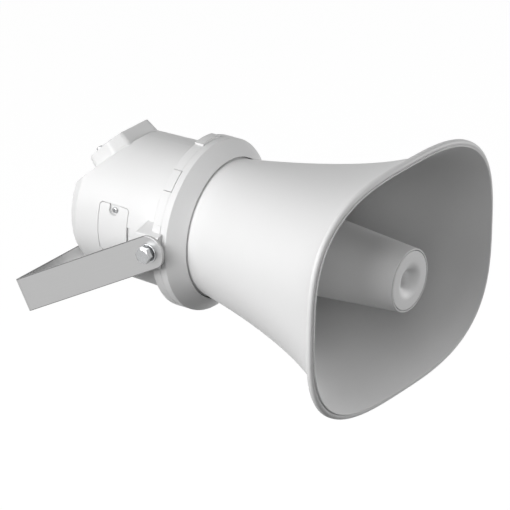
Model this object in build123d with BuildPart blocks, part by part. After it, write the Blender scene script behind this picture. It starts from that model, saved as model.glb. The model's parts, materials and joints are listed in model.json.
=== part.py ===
import os
from math import cos, exp, radians, sin, sqrt

from build123d import *

# All sizes are in millimetres and degrees.
# The origin is the centre hole of the bracket's base, on the face that meets the wall.
# +Z is up, the mouth faces -Y and the horn's own axis is level, parallel to Y.
# "forward" is a distance from the tilt axis towards the mouth.

# mounting bracket
arm_reach = 158.0  # tilt axis to the wall face of the base
bracket_slope = 29.5  # the arms point back and down by this much
strip_width = 30.0
strip_thickness = 3.0
strip_bend = 3.0  # inside radius of the two bends
base_hole_diameter = 10.5
side_hole_diameter = 6.5
side_hole_spacing = 90.0

# horn bell: a round throat that opens to a rounded rectangular mouth
mouth_width = 280.0
mouth_height = 212.8
mouth_squareness = 3.0  # exponent of the outline, 2 is an ellipse
mouth_forward = 205.5
throat_forward = 24.5
throat_radius = 61.0
bell_wall = 2.8
width_straight_share = 0.77  # straight part of the growth in width, the rest is the flare
width_flare_rate = 8.0
height_straight_share = 0.49
height_flare_rate = 4.4
squareness_growth = 1.9
bell_shares = (0.0, 0.15, 0.32, 0.5, 0.66, 0.8, 0.9, 0.96, 1.0)
outline_points = 24
rim_depth = 5.5
rim_outer_round = 2.4
rim_inner_round = 0.8
neck_inset = 0.4
neck_overlap = 2.5
neck_step = 0.1
wall_slant = 1.35  # the flare leans over at the mouth, so its wall is wider there
flare_inset = 1.4  # the flare meets the back of the rim this far inside it
bell_flange_radius = 71.6
bell_flange_thickness = 4.0

# housing and collar
flange_rear = -3.2
flange_front = 5.5
flange_radius = 76.3
housing_front_radius = 65.9
housing_rear_radius = 63.5
housing_wall_end = -92.5
housing_rear = -101.0
rear_bevel = 5.0
rear_round = 1.5
housing_wall = 3.0
rear_wall = 3.5
collar_band_front = 12.0
collar_nose_front = 24.8
collar_nose_radius = 62.6
collar_wall = 3.0
clip_angles = (47.5, 132.5, 231.4, 308.6)
clip_span = 15.4
clip_thickness = 2.4
clip_gap = 0.5
clip_side_gap = 0.75  # degrees, both sides together
clip_reach = 9.0  # how far inwards a wedge is drawn before it is trimmed
clip_groove_width = 0.6
clip_groove_depth = 1.0
band_edge_round = 0.5
nose_edge_round = 0.4
top_pad_span = 18.6
top_pad_height = 1.7
seat_clearance = 0.3
bell_seal_thickness = 1.5
bell_seal_inner = 62.6
collar_shoulder_inner = 67.0

# pivot bosses
boss_face = 81.0  # distance of the boss's outer face from the middle
boss_rear = -15.5
boss_front = 7.8
boss_half_height = 14.5
boss_root_half_height = 20.0
boss_root = 58.0
boss_slot = 0.7
boss_round = 1.5
boss_pad_angle = 13.8  # above the level of the tilt axis
boss_pad_span = 6.4
boss_pad_height = 0.5
insert_diameter = 10.5
insert_length = 8.5
bolt_diameter = 8.0
bolt_length = 15.0
bolt_head_flats = 13.0
bolt_head_height = 5.4
washer_diameter = 17.0
washer_thickness = 1.6
spring_washer_diameter = 14.2
spring_washer_thickness = 2.0
spring_washer_split = 1.4
washer_hole_clearance = 0.2
head_chamfer_slope = 60.0
head_chamfer_rise = 1.6
running_clearance = 0.08
side_clearance = 0.2
washer_clearance = 0.05

# connection lid on the slanted facet at the top rear
lid_slope = 45.0
facet_distance = 91.2  # from the tilt axis, square to the facet
facet_wall = 3.5
lid_slide = -27.6  # centre of the lid along the facet, from the tilt axis
lid_seat_height = 1.2
seat_root = 3.0  # how many facet walls deep the lid's seat is drawn
lid_width = 62.8
lid_length = 49.0
lid_corner_cut = 11.4
lid_corner_round = 8.0
lid_height = 11.4
lid_draft = 9.0
lid_wall = 2.6
lid_edge_round = 1.0
lid_screw_x = 23.5
lid_screw_back = 3.5
lid_screw_diameter = 4.0
screw_hole_clearance = 0.15
screw_tip_room = 1.0
screw_end_wall = 0.5
lid_gasket_width = 1.8
lid_gasket_thickness = 1.5
lid_screw_head = 2.4
lid_screw_head_radius = 3.2
lid_screw_length = 20.0
lid_boss_radius = 4.2
rib_inset = 0.3
cross_length = 3.4
cross_width = 0.8
cross_depth = 1.2
connection_opening_width = 30.0
connection_opening_length = 18.0

# side cover
cover_rear = -67.8
cover_front = -37.2
cover_height = 44.6
cover_corner = 3.0
cover_wall = 2.2
cover_gap = 0.45
cover_seat = 58.4  # distance of the cover's flat edge from the middle
cover_hollow_top = 11.0
cover_gasket_thickness = 1.0
cover_gasket_width = 2.4
pocket_wall = 2.5
window_margin = 5.0
notch_width = 10.0
notch_bottom = 13.6
notch_floor = 59.6
notch_round = 4.6
pry_slot_width = 3.2
pry_slot_height = 14.0
pry_slot_depth = 2.0
cover_screw_diameter = 3.0
cover_screw_height = 17.6
cover_screw_head = 1.8
cover_screw_head_radius = 2.8
cover_screw_length = 7.0

# throat horn: the pan behind the bell, the tube through the middle and the driver's seat
throat_flange_thickness = 3.0
throat_entry_radius = 9.5
tube_exit_radius = 13.5
tube_end = 182.0
tube_wall = 1.8
pan_edge_radius = 57.6
pan_bottom_radius = 38.0
pan_bottom = -1.0
pan_root = 11.0
driver_seat = -6.5
driver_seat_radius = 49.0

# reflector
reflector_front = 209.7
reflector_front_radius = 27.8
reflector_rear = 84.0
reflector_taper = 0.08
reflector_wall = 1.8
cap_plate = 2.2
cap_fit = 0.3
cap_skirt = 6.0
funnel_mouth_radius = 17.5
funnel_throat_radius = 7.0
funnel_depth = 10.5
funnel_tip_depth = 24.0
funnel_wall = 1.6
spider_front = 120.0
spider_rear = 98.0
spider_hub_wall = 2.5
spider_vanes = 4
spider_vane_thickness = 2.4
spider_fit = 0.2

# compression driver
driver_radius = 46.0
driver_gasket_thickness = 1.0
front_ring_thickness = 9.0
front_ring_bore = 26.2
driver_screw_circle = 41.0
driver_screw_diameter = 4.0
driver_screw_head = 2.4
driver_screw_head_radius = 3.6
top_plate_thickness = 5.0
magnet_radius = 36.0
magnet_bore = 20.0
magnet_thickness = 15.0
back_plate_radius = 34.0
back_plate_thickness = 5.0
plate_bore = 17.2
pole_radius = 15.4
pole_chamfer = 1.0
coil_radius = 16.2
coil_wall = 0.6
coil_length = 8.0
dome_height = 5.0
dome_fullness = 0.76  # height half way out, a little flatter than a true circle
diaphragm_wall = 0.4
surround_width = 6.0
roll_margin = 0.3
roll_height = 0.4
surround_play = 0.6  # free space each side of the diaphragm's edge
clamp_ring_inner = 20.5
plug_gap = 1.2
plug_rim = 3.0
plug_slit_radius = 7.0
plug_slit = 1.4
plug_slit_span = 96.0
plug_slit_centre = 2.0
plug_nose = 15.0

# transformer, connection board and terminals
core_width = 42.0
core_height = 35.0
core_depth = 16.0
core_leg = 7.0
core_window = 7.0
coil_gap = 0.4
transformer_drop = 2.0
strap_thickness = 1.5
strap_width = 12.0
strap_foot = 9.0
strap_screw_diameter = 3.0
small_head_radius = 2.7
small_head_height = 1.9
coil_corner = 3.0
board_width = 54.0
board_length = 34.0
board_thickness = 1.6
board_post_height = 8.0
board_post_radius = 3.2
board_post_x = 23.0
board_post_ys = (-12.0, 12.0)
board_shift = -3.0
board_screw_diameter = 3.0
terminal_width = 26.0
terminal_depth = 8.0
terminal_height = 9.0
terminal_count = 4
terminal_wire_radius = 1.6
terminal_wire_height = 3.2
terminal_screw_radius = 1.8
terminal_screw_length = 3.6
terminal_screw_sink = 0.6
terminal_slot = 0.7

# cable gland in the rear wall
gland_drop = 34.0
gland_thread_radius = 8.0
gland_bore_radius = 5.5
gland_flats = 22.0
gland_collar_length = 5.0
gland_cap_length = 13.0
gland_cap_radius = 10.5
gland_mouth_radius = 5.0
gland_nut_thickness = 4.0
gland_seal_bore = 3.5
gland_seal_length = 8.0
gland_stub_length = 8.0
gland_thread_end = 2.0
gland_cap_draft = 0.8
gland_lip = 1.2
gland_dome_length = 0.3  # the cap's rounded end bulges out to this share of its length
gland_dome_width = 0.7

# frame of the horn, worked out from the bracket
pivot_y = -arm_reach * cos(radians(bracket_slope))
pivot_z = arm_reach * sin(radians(bracket_slope))
horn_axis = Axis((0, pivot_y, pivot_z), (0, -1, 0))
# local x runs forward and local y up from the horn's axis
side_plane = Plane(origin=(0, pivot_y, pivot_z), x_dir=(0, -1, 0), z_dir=(-1, 0, 0))


def station(forward):
    """The plane square to the horn's axis, looking towards the mouth."""
    return Plane(origin=(0, pivot_y - forward, pivot_z), x_dir=(1, 0, 0), z_dir=(0, -1, 0))


def flare(share, rate):
    return (exp(rate * share) - 1) / (exp(rate) - 1)


def bell_size(share, inset):
    """Half width, half height and squareness of the bell, from throat (0) to mouth (1)."""
    wide = width_straight_share * share + (1 - width_straight_share) * flare(share, width_flare_rate)
    high = height_straight_share * share + (1 - height_straight_share) * flare(share, height_flare_rate)
    half_width = throat_radius + (mouth_width / 2 - flare_inset - throat_radius) * wide - inset
    half_height = throat_radius + (mouth_height / 2 - flare_inset - throat_radius) * high - inset
    return half_width, half_height, 2 + (mouth_squareness - 2) * share**squareness_growth


def outline(half_width, half_height, squareness):
    """Points round one closed outline of the bell."""
    points = []
    for index in range(outline_points):
        angle = radians(360 * index / outline_points)
        across = abs(cos(angle) / half_width) ** squareness
        up = abs(sin(angle) / half_height) ** squareness
        reach = (across + up) ** (-1 / squareness)
        points.append((reach * cos(angle), reach * sin(angle)))
    return points


def facet(distance):
    """A plane parallel to the slanted facet, under the lid's centre, with y down the slope."""
    slope = radians(lid_slope)
    y = pivot_y + distance * sin(slope) - lid_slide * cos(slope)
    z = pivot_z + distance * cos(slope) + lid_slide * sin(slope)
    return Plane(origin=(0, y, z), x_dir=(1, 0, 0), z_dir=(0, sin(slope), cos(slope)))


def pivot_face(distance):
    """The plane across the tilt axis on the -X side, looking outwards."""
    return Plane(origin=(-distance, pivot_y, pivot_z), x_dir=(0, -1, 0), z_dir=(-1, 0, 0))


def sector(angle, span, inner, outer):
    """Corners of a wedge between two radii, wide enough to be trimmed by circles."""
    start = radians(angle - span / 2)
    end = radians(angle + span / 2)
    near = inner * cos(radians(span / 2))
    far = outer / cos(radians(span / 2))
    return [
        (near * cos(start), near * sin(start)),
        (far * cos(start), far * sin(start)),
        (far * cos(end), far * sin(end)),
        (near * cos(end), near * sin(end)),
    ]


def reflector_radius(forward):
    return reflector_front_radius + reflector_taper * (reflector_front - forward)


def housing_radius(forward):
    share = (forward - flange_rear) / (housing_wall_end - flange_rear)
    return housing_front_radius + (housing_rear_radius - housing_front_radius) * share


def finish(piece, name):
    piece.part.label = name
    export_step(piece.part, f"parts/{name}.step")


os.makedirs("parts", exist_ok=True)

# Horn bell: a thin flared shell with a rolled rim and a clamping flange at its throat.
bell_length = mouth_forward - throat_forward
bell_flange_front = flange_front + bell_flange_thickness
with BuildPart() as horn_bell:
    for share in bell_shares:
        with BuildSketch(station(throat_forward + share * bell_length)):
            with BuildLine():
                Spline(*outline(*bell_size(share, 0)), periodic=True)
            make_face()
    loft()
    with BuildSketch(station(mouth_forward)):
        with BuildLine():
            Spline(*outline(mouth_width / 2, mouth_height / 2, mouth_squareness), periodic=True)
        make_face()
    extrude(amount=-rim_depth)
    with BuildSketch(station(flange_front)):
        Circle(throat_radius - neck_inset)
    extrude(amount=throat_forward + neck_overlap - flange_front)
    with BuildSketch(station(flange_front)):
        Circle(bell_flange_radius)
    extrude(amount=bell_flange_thickness)
    for share in bell_shares:
        slant = 1 + (wall_slant - 1) * share
        with BuildSketch(station(throat_forward + share * bell_length)):
            with BuildLine():
                Spline(*outline(*bell_size(share, bell_wall * slant)), periodic=True)
            make_face()
    loft(mode=Mode.SUBTRACT)
    with BuildSketch(station(flange_front)):
        Circle(throat_radius - bell_wall - neck_step)
    extrude(amount=throat_forward + neck_overlap - flange_front, mode=Mode.SUBTRACT)
    mouth_edges = horn_bell.edges().group_by(Axis.Y)[0].sort_by(SortBy.LENGTH)
    fillet(mouth_edges[-1], rim_outer_round)
    mouth_edges = horn_bell.edges().group_by(Axis.Y)[0].sort_by(SortBy.LENGTH)
    fillet(mouth_edges[0], rim_inner_round)
finish(horn_bell, "horn_bell")

# Housing: a moulded cup with a front flange, a slanted facet, pivot bosses and a side pocket.
pocket_middle = (cover_rear + cover_front) / 2
pocket_length = cover_front - cover_rear
pocket_floor = cover_seat - cover_gasket_thickness
facet_inner = facet_distance - facet_wall
cavity_rear = housing_rear + rear_wall
cavity_rear_radius = housing_rear_radius - housing_wall
with BuildPart() as cavity:
    with BuildSketch(side_plane):
        Polygon(
            (cavity_rear, 0),
            (cavity_rear, cavity_rear_radius - rear_bevel),
            (housing_wall_end, cavity_rear_radius),
            (flange_front, housing_radius(flange_front) - housing_wall),
            (flange_front, 0),
            align=None,
        )
    revolve(axis=horn_axis)
    split(bisect_by=facet(facet_inner), keep=Keep.BOTTOM)
    with BuildSketch(side_plane.offset(pocket_floor - pocket_wall)):
        with Locations((pocket_middle, 0)):
            Rectangle(
                pocket_length + 2 * (cover_gap + pocket_wall),
                cover_height + 2 * (cover_gap + pocket_wall),
            )
    extrude(amount=housing_front_radius, mode=Mode.SUBTRACT)
    with BuildSketch(facet(facet_inner)):
        with Locations(*[(x, y) for x in (-board_post_x, board_post_x) for y in board_post_ys]):
            Circle(board_post_radius)
    extrude(amount=-board_post_height, mode=Mode.SUBTRACT)
    with BuildSketch(facet(facet_inner)):
        with Locations((-lid_screw_x, lid_screw_back), (lid_screw_x, lid_screw_back)):
            Circle(lid_boss_radius)
    extrude(amount=-board_post_height + screw_hole_clearance, mode=Mode.SUBTRACT)

throat_recess = flange_front - throat_flange_thickness
lid_base = facet_distance + lid_seat_height
lid_top = lid_base + lid_height
board_top = facet_inner - board_post_height
strap_hole_x = core_width / 2 + strap_thickness + strap_foot / 2
strap_screw_depth = rear_wall - screw_end_wall
with BuildPart() as driver_housing:
    with BuildSketch(side_plane):
        Polygon(
            (housing_rear, 0),
            (housing_rear, housing_rear_radius - rear_bevel),
            (housing_wall_end, housing_rear_radius),
            (flange_rear, housing_front_radius),
            (flange_rear, flange_radius),
            (flange_front, flange_radius),
            (flange_front, 0),
            align=None,
        )
        fillet([v for v in vertices() if v.X <= housing_wall_end and v.Y > 0], rear_round)
        fillet([v for v in vertices() if v.Y >= flange_radius], band_edge_round)
    revolve(axis=horn_axis)
    split(bisect_by=facet(facet_distance), keep=Keep.BOTTOM)
    with BuildSketch(station(flange_rear)):
        Polygon(
            *sector(90, top_pad_span, flange_radius - top_pad_height, flange_radius + top_pad_height),
            align=None,
        )
        Circle(flange_radius + top_pad_height, mode=Mode.INTERSECT)
    extrude(amount=flange_front - flange_rear)
    with BuildSketch(facet(lid_base)):
        Rectangle(lid_width, lid_length)
        chamfer(vertices(), lid_corner_cut)
        fillet(vertices(), lid_corner_round)
    extrude(amount=-lid_seat_height - seat_root * facet_wall)
    for side in (-1, 1):
        with BuildSketch(station(boss_rear)):
            Polygon(
                (side * boss_root, -boss_root_half_height),
                (side * boss_face, -boss_half_height),
                (side * boss_face, boss_half_height),
                (side * boss_root, boss_root_half_height),
                align=None,
            )
            fillet([v for v in vertices() if abs(v.X) >= boss_face], boss_round)
        extrude(amount=boss_front - boss_rear)
    with BuildSketch(station(0)):
        for angle in (boss_pad_angle, 180 - boss_pad_angle):
            Polygon(
                *sector(angle, boss_pad_span, flange_radius - clip_reach, flange_radius + boss_pad_height),
                align=None,
            )
        Circle(flange_radius + boss_pad_height, mode=Mode.INTERSECT)
    extrude(amount=flange_front)
    with BuildSketch(station(flange_front)):
        Circle(flange_radius + boss_slot)
    extrude(amount=boss_front - flange_front, mode=Mode.SUBTRACT)
    add(cavity.part, mode=Mode.SUBTRACT)
    with BuildSketch(station(throat_recess)):
        Circle(bell_flange_radius + seat_clearance)
    extrude(amount=throat_flange_thickness, mode=Mode.SUBTRACT)
    with BuildSketch(station(flange_rear)):
        for angle in clip_angles:
            Polygon(
                *sector(angle, clip_span + clip_side_gap, flange_radius - clip_reach, flange_radius),
                align=None,
            )
        Circle(flange_radius - clip_thickness - clip_gap, mode=Mode.SUBTRACT)
    extrude(amount=flange_front - flange_rear, mode=Mode.SUBTRACT)
    with BuildSketch(side_plane.offset(pocket_floor)):
        with Locations((pocket_middle, 0)):
            RectangleRounded(
                pocket_length + 2 * cover_gap, cover_height + 2 * cover_gap, cover_corner + cover_gap
            )
    extrude(amount=housing_front_radius, mode=Mode.SUBTRACT)
    window_top = cover_hollow_top
    window_bottom = -cover_height / 2 + window_margin
    with BuildSketch(side_plane.offset(pocket_floor - pocket_wall)):
        with Locations((pocket_middle, (window_top + window_bottom) / 2)):
            Rectangle(pocket_length - 2 * window_margin, window_top - window_bottom)
    extrude(amount=pocket_wall, mode=Mode.SUBTRACT)
    with BuildSketch(side_plane.offset(pocket_floor - pocket_wall)):
        with Locations((pocket_middle, cover_screw_height)):
            Circle(cover_screw_diameter / 2)
    extrude(amount=pocket_wall, mode=Mode.SUBTRACT)
    with BuildSketch(side_plane.offset(housing_radius(cover_front) - pry_slot_depth)):
        with Locations((cover_front + cover_gap + pry_slot_width / 2, 0)):
            Rectangle(pry_slot_width, pry_slot_height)
    extrude(amount=2 * pry_slot_depth, mode=Mode.SUBTRACT)
    with BuildSketch(facet(facet_inner)):
        Rectangle(connection_opening_width, connection_opening_length)
    extrude(amount=lid_base - facet_inner, mode=Mode.SUBTRACT)
    with BuildSketch(facet(lid_base)):
        Rectangle(
            connection_opening_width + 4 * lid_gasket_width, connection_opening_length + 4 * lid_gasket_width
        )
        Rectangle(
            connection_opening_width + 2 * lid_gasket_width,
            connection_opening_length + 2 * lid_gasket_width,
            mode=Mode.SUBTRACT,
        )
    extrude(amount=-lid_gasket_thickness, mode=Mode.SUBTRACT)
    with BuildSketch(facet(lid_base)):
        with Locations((-lid_screw_x, lid_screw_back), (lid_screw_x, lid_screw_back)):
            Circle(lid_screw_diameter / 2)
    extrude(amount=lid_height - lid_screw_length - screw_tip_room, mode=Mode.SUBTRACT)
    with BuildSketch(facet(board_top)):
        with Locations(*[(x, y) for x in (-board_post_x, board_post_x) for y in board_post_ys]):
            Circle(board_screw_diameter / 2)
    extrude(amount=board_post_height - screw_tip_room, mode=Mode.SUBTRACT)
    with BuildSketch(pivot_face(boss_face)):
        Circle(insert_diameter / 2)
    extrude(amount=-insert_length, mode=Mode.SUBTRACT)
    with BuildSketch(pivot_face(-boss_face)):
        Circle(insert_diameter / 2)
    extrude(amount=insert_length, mode=Mode.SUBTRACT)
    with BuildSketch(station(housing_rear)):
        with Locations((0, -gland_drop)):
            Circle(gland_thread_radius + screw_hole_clearance)
    extrude(amount=rear_wall, mode=Mode.SUBTRACT)
    with BuildSketch(station(cavity_rear)):
        with Locations((-strap_hole_x, -transformer_drop), (strap_hole_x, -transformer_drop)):
            Circle(strap_screw_diameter / 2)
    extrude(amount=-strap_screw_depth, mode=Mode.SUBTRACT)
finish(driver_housing, "driver_housing")

# Collar ring: clamps the bell's flange to the housing and clips over its flange.
nose_slope = (flange_radius - collar_nose_radius) / (collar_nose_front - collar_band_front)
nose_wall = collar_wall * sqrt(1 + nose_slope**2) / nose_slope  # measured along the axis
collar_bore = flange_radius - collar_wall
shoulder_front = bell_flange_front + bell_seal_thickness


def collar_inside(radius):
    """Where the inside of the collar's cone reaches a radius."""
    return collar_nose_front - nose_wall - (radius - collar_nose_radius) / nose_slope


with BuildPart() as collar_ring:
    with BuildSketch(side_plane):
        Polygon(
            (flange_front, flange_radius),
            (collar_band_front, flange_radius),
            (collar_nose_front, collar_nose_radius),
            (collar_inside(collar_nose_radius), collar_nose_radius),
            (collar_inside(collar_shoulder_inner), collar_shoulder_inner),
            (shoulder_front, collar_shoulder_inner),
            (shoulder_front, collar_bore),
            (flange_front, collar_bore),
            align=None,
        )
        fillet([v for v in vertices() if v.X > flange_front and v.Y >= flange_radius], band_edge_round)
        fillet(vertices().sort_by(Axis.X)[-1], nose_edge_round)
    revolve(axis=horn_axis)
    with BuildSketch(station(flange_rear)):
        for angle in clip_angles:
            Polygon(*sector(angle, clip_span, flange_radius - clip_reach, flange_radius), align=None)
        Circle(flange_radius, mode=Mode.INTERSECT)
        Circle(flange_radius - clip_thickness, mode=Mode.SUBTRACT)
    extrude(amount=flange_front - flange_rear)
    with BuildSketch(station(flange_front)):
        for angle in clip_angles:
            Polygon(
                *sector(angle, clip_span + clip_side_gap, flange_radius - clip_reach, flange_radius),
                align=None,
            )
        Circle(flange_radius - clip_groove_depth, mode=Mode.SUBTRACT)
    extrude(amount=clip_groove_width, mode=Mode.SUBTRACT)
finish(collar_ring, "collar_ring")

# Rubber seal between the bell's flange and the collar.
with BuildPart() as bell_seal:
    with BuildSketch(station(bell_flange_front)):
        Circle(bell_flange_radius)
        Circle(bell_seal_inner, mode=Mode.SUBTRACT)
    extrude(amount=bell_seal_thickness)
finish(bell_seal, "bell_seal")

# Throat horn: a dished pan that turns the sound forward again, with the tube in its middle.
tube_front_radius = tube_exit_radius + tube_wall
tube_root_radius = throat_entry_radius + tube_wall
with BuildPart() as throat_horn:
    with BuildSketch(side_plane):
        with BuildLine():
            Spline(
                (flange_front, pan_edge_radius),
                (pan_bottom, pan_bottom_radius),
                (pan_root, tube_root_radius),
            )
            Polyline(
                (pan_root, tube_root_radius),
                (tube_end, tube_front_radius),
                (tube_end, tube_exit_radius),
                (driver_seat, throat_entry_radius),
                (driver_seat, driver_seat_radius),
                (throat_recess, pan_edge_radius + throat_flange_thickness),
                (throat_recess, bell_flange_radius),
                (flange_front, bell_flange_radius),
                (flange_front, pan_edge_radius),
            )
        make_face()
    revolve(axis=horn_axis)
    with BuildSketch(station(driver_seat)):
        with PolarLocations(driver_screw_circle, 4, start_angle=45):
            Circle(driver_screw_diameter / 2)
    extrude(amount=throat_flange_thickness, mode=Mode.SUBTRACT)
finish(throat_horn, "throat_horn")

# Reflector: a tapered cup, open at the rear, closed in front by a cap with a funnel.
cap_seat = reflector_front - cap_plate
cap_radius = reflector_radius(reflector_front) - reflector_wall / 2
ledge_radius = cap_radius - reflector_wall
with BuildPart() as reflector_cone:
    with BuildSketch(side_plane):
        Polygon(
            (reflector_rear, reflector_radius(reflector_rear)),
            (reflector_front, reflector_radius(reflector_front)),
            (reflector_front, cap_radius),
            (cap_seat, cap_radius),
            (cap_seat, ledge_radius),
            (cap_seat - reflector_wall, ledge_radius),
            (cap_seat - cap_skirt, reflector_radius(cap_seat - cap_skirt) - reflector_wall),
            (reflector_rear, reflector_radius(reflector_rear) - reflector_wall),
            align=None,
        )
    revolve(axis=horn_axis)
finish(reflector_cone, "reflector_cone")

# The cap's funnel points back into the tube's stream and turns it round.
with BuildPart() as reflector_cap:
    with BuildSketch(side_plane):
        with BuildLine():
            Line((reflector_front, cap_radius - cap_fit), (reflector_front, funnel_mouth_radius))
            Spline(
                (reflector_front, funnel_mouth_radius),
                (reflector_front - funnel_depth, funnel_throat_radius),
                tangents=((0, -1), (-1, -0.12)),
            )
            Polyline(
                (reflector_front - funnel_depth, funnel_throat_radius),
                (reflector_front - funnel_tip_depth + funnel_wall, funnel_throat_radius / 2),
                (reflector_front - funnel_tip_depth + funnel_wall, 0),
                (reflector_front - funnel_tip_depth, 0),
                (reflector_front - funnel_tip_depth, funnel_throat_radius / 2 + funnel_wall / 2),
                (reflector_front - funnel_depth, funnel_throat_radius + funnel_wall),
            )
            Spline(
                (reflector_front - funnel_depth, funnel_throat_radius + funnel_wall),
                (cap_seat, funnel_mouth_radius + funnel_wall),
                tangents=((1, 0.12), (0, 1)),
            )
            Polyline(
                (cap_seat, funnel_mouth_radius + funnel_wall),
                (cap_seat, ledge_radius - cap_fit),
                (cap_seat, cap_radius - cap_fit),
                (reflector_front, cap_radius - cap_fit),
            )
        make_face()
    revolve(axis=horn_axis)
finish(reflector_cap, "reflector_cap")


def tube_radius(forward):
    """Outside of the throat tube."""
    share = (forward - pan_root) / (tube_end - pan_root)
    return tube_root_radius + (tube_front_radius - tube_root_radius) * share


# Spider: a hub on the throat tube with vanes that carry the reflector.
with BuildPart() as reflector_spider:
    with BuildSketch(side_plane):
        Polygon(
            (spider_rear, tube_radius(spider_rear) + spider_fit),
            (spider_front, tube_radius(spider_front) + spider_fit),
            (spider_front, tube_radius(spider_front) + spider_hub_wall),
            (spider_rear, tube_radius(spider_rear) + spider_hub_wall),
            align=None,
        )
    revolve(axis=horn_axis)
    with BuildSketch(side_plane):
        Polygon(
            (spider_rear, tube_radius(spider_rear) + spider_hub_wall / 2),
            (spider_front, tube_radius(spider_front) + spider_hub_wall / 2),
            (spider_front, reflector_radius(spider_front) - reflector_wall - spider_fit),
            (spider_rear, reflector_radius(spider_rear) - reflector_wall - spider_fit),
            align=None,
        )
    vane = extrude(amount=spider_vane_thickness / 2, both=True, mode=Mode.PRIVATE)
    for index in range(spider_vanes):
        add(vane.rotate(horn_axis, 45 + 360 * index / spider_vanes))
finish(reflector_spider, "reflector_spider")

# Compression driver, built up backwards from the throat horn's rear face.
driver_gasket_rear = driver_seat - driver_gasket_thickness
front_ring_rear = driver_gasket_rear - front_ring_thickness
top_plate_rear = front_ring_rear - top_plate_thickness
magnet_rear = top_plate_rear - magnet_thickness
back_plate_rear = magnet_rear - back_plate_thickness
with BuildPart() as driver_gasket:
    with BuildSketch(station(driver_gasket_rear)):
        Circle(driver_radius)
        Circle(front_ring_bore - plug_rim, mode=Mode.SUBTRACT)
        with PolarLocations(driver_screw_circle, 4, start_angle=45):
            Circle(driver_screw_diameter / 2 + screw_hole_clearance, mode=Mode.SUBTRACT)
    extrude(amount=driver_gasket_thickness)
finish(driver_gasket, "driver_gasket")

with BuildPart() as driver_front_ring:
    with BuildSketch(station(front_ring_rear)):
        Circle(driver_radius)
        Circle(front_ring_bore, mode=Mode.SUBTRACT)
        with PolarLocations(driver_screw_circle, 4, start_angle=45):
            Circle(driver_screw_diameter / 2 + screw_hole_clearance, mode=Mode.SUBTRACT)
    extrude(amount=front_ring_thickness)
finish(driver_front_ring, "driver_front_ring")

with BuildPart() as top_plate:
    with BuildSketch(station(top_plate_rear)):
        Circle(driver_radius)
        Circle(plate_bore, mode=Mode.SUBTRACT)
        with PolarLocations(driver_screw_circle, 4, start_angle=45):
            Circle(driver_screw_diameter / 2 + screw_hole_clearance, mode=Mode.SUBTRACT)
    extrude(amount=top_plate_thickness)
finish(top_plate, "top_plate")

with BuildPart() as ring_magnet:
    with BuildSketch(station(magnet_rear)):
        Circle(magnet_radius)
        Circle(magnet_bore, mode=Mode.SUBTRACT)
    extrude(amount=magnet_thickness)
finish(ring_magnet, "ring_magnet")

with BuildPart() as back_yoke:
    with BuildSketch(station(back_plate_rear)):
        Circle(back_plate_radius)
    extrude(amount=back_plate_thickness)
    with BuildSketch(station(magnet_rear)):
        Circle(pole_radius)
    extrude(amount=magnet_thickness + top_plate_thickness)
    chamfer(back_yoke.edges().group_by(Axis.Y)[-1], pole_chamfer)
finish(back_yoke, "back_yoke")

# Diaphragm: a domed cap with a rolled surround, free to travel between its clamps.
edge_rear = front_ring_rear + surround_play
edge_front = edge_rear + diaphragm_wall
coil_outer = coil_radius + coil_wall / 2
coil_inner = coil_radius - coil_wall / 2
dome_middle = dome_height * dome_fullness
roll_inner = coil_outer + roll_margin
roll_outer = clamp_ring_inner - roll_margin
roll_middle = (roll_inner + roll_outer) / 2
with BuildPart() as diaphragm:
    with BuildSketch(station(edge_rear)):
        Circle(coil_outer + surround_width)
    extrude(amount=diaphragm_wall)
    for face, mode in ((edge_front, Mode.ADD), (edge_rear, Mode.SUBTRACT)):
        with BuildSketch(side_plane):
            with BuildLine():
                ThreePointArc(
                    (face + dome_height, 0), (face + dome_middle, coil_inner / 2), (face, coil_inner)
                )
                Polyline((face, coil_inner), (face, 0), (face + dome_height, 0))
            make_face()
        revolve(axis=horn_axis, mode=mode)
        with BuildSketch(side_plane):
            with BuildLine():
                ThreePointArc((face, roll_inner), (face + roll_height, roll_middle), (face, roll_outer))
                Line((face, roll_outer), (face, roll_inner))
            make_face()
        revolve(axis=horn_axis, mode=mode)
finish(diaphragm, "diaphragm")

with BuildPart() as voice_coil:
    with BuildSketch(station(edge_rear - coil_length)):
        Circle(coil_outer)
        Circle(coil_inner, mode=Mode.SUBTRACT)
    extrude(amount=coil_length)
finish(voice_coil, "voice_coil")

clamp_rear = edge_front + surround_play
plug_rear = driver_gasket_rear - plug_rim
with BuildPart() as diaphragm_clamp:
    with BuildSketch(station(clamp_rear)):
        Circle(front_ring_bore - cap_fit / 2)
        Circle(clamp_ring_inner, mode=Mode.SUBTRACT)
    extrude(amount=plug_rear - clamp_rear)
finish(diaphragm_clamp, "diaphragm_clamp")

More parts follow.
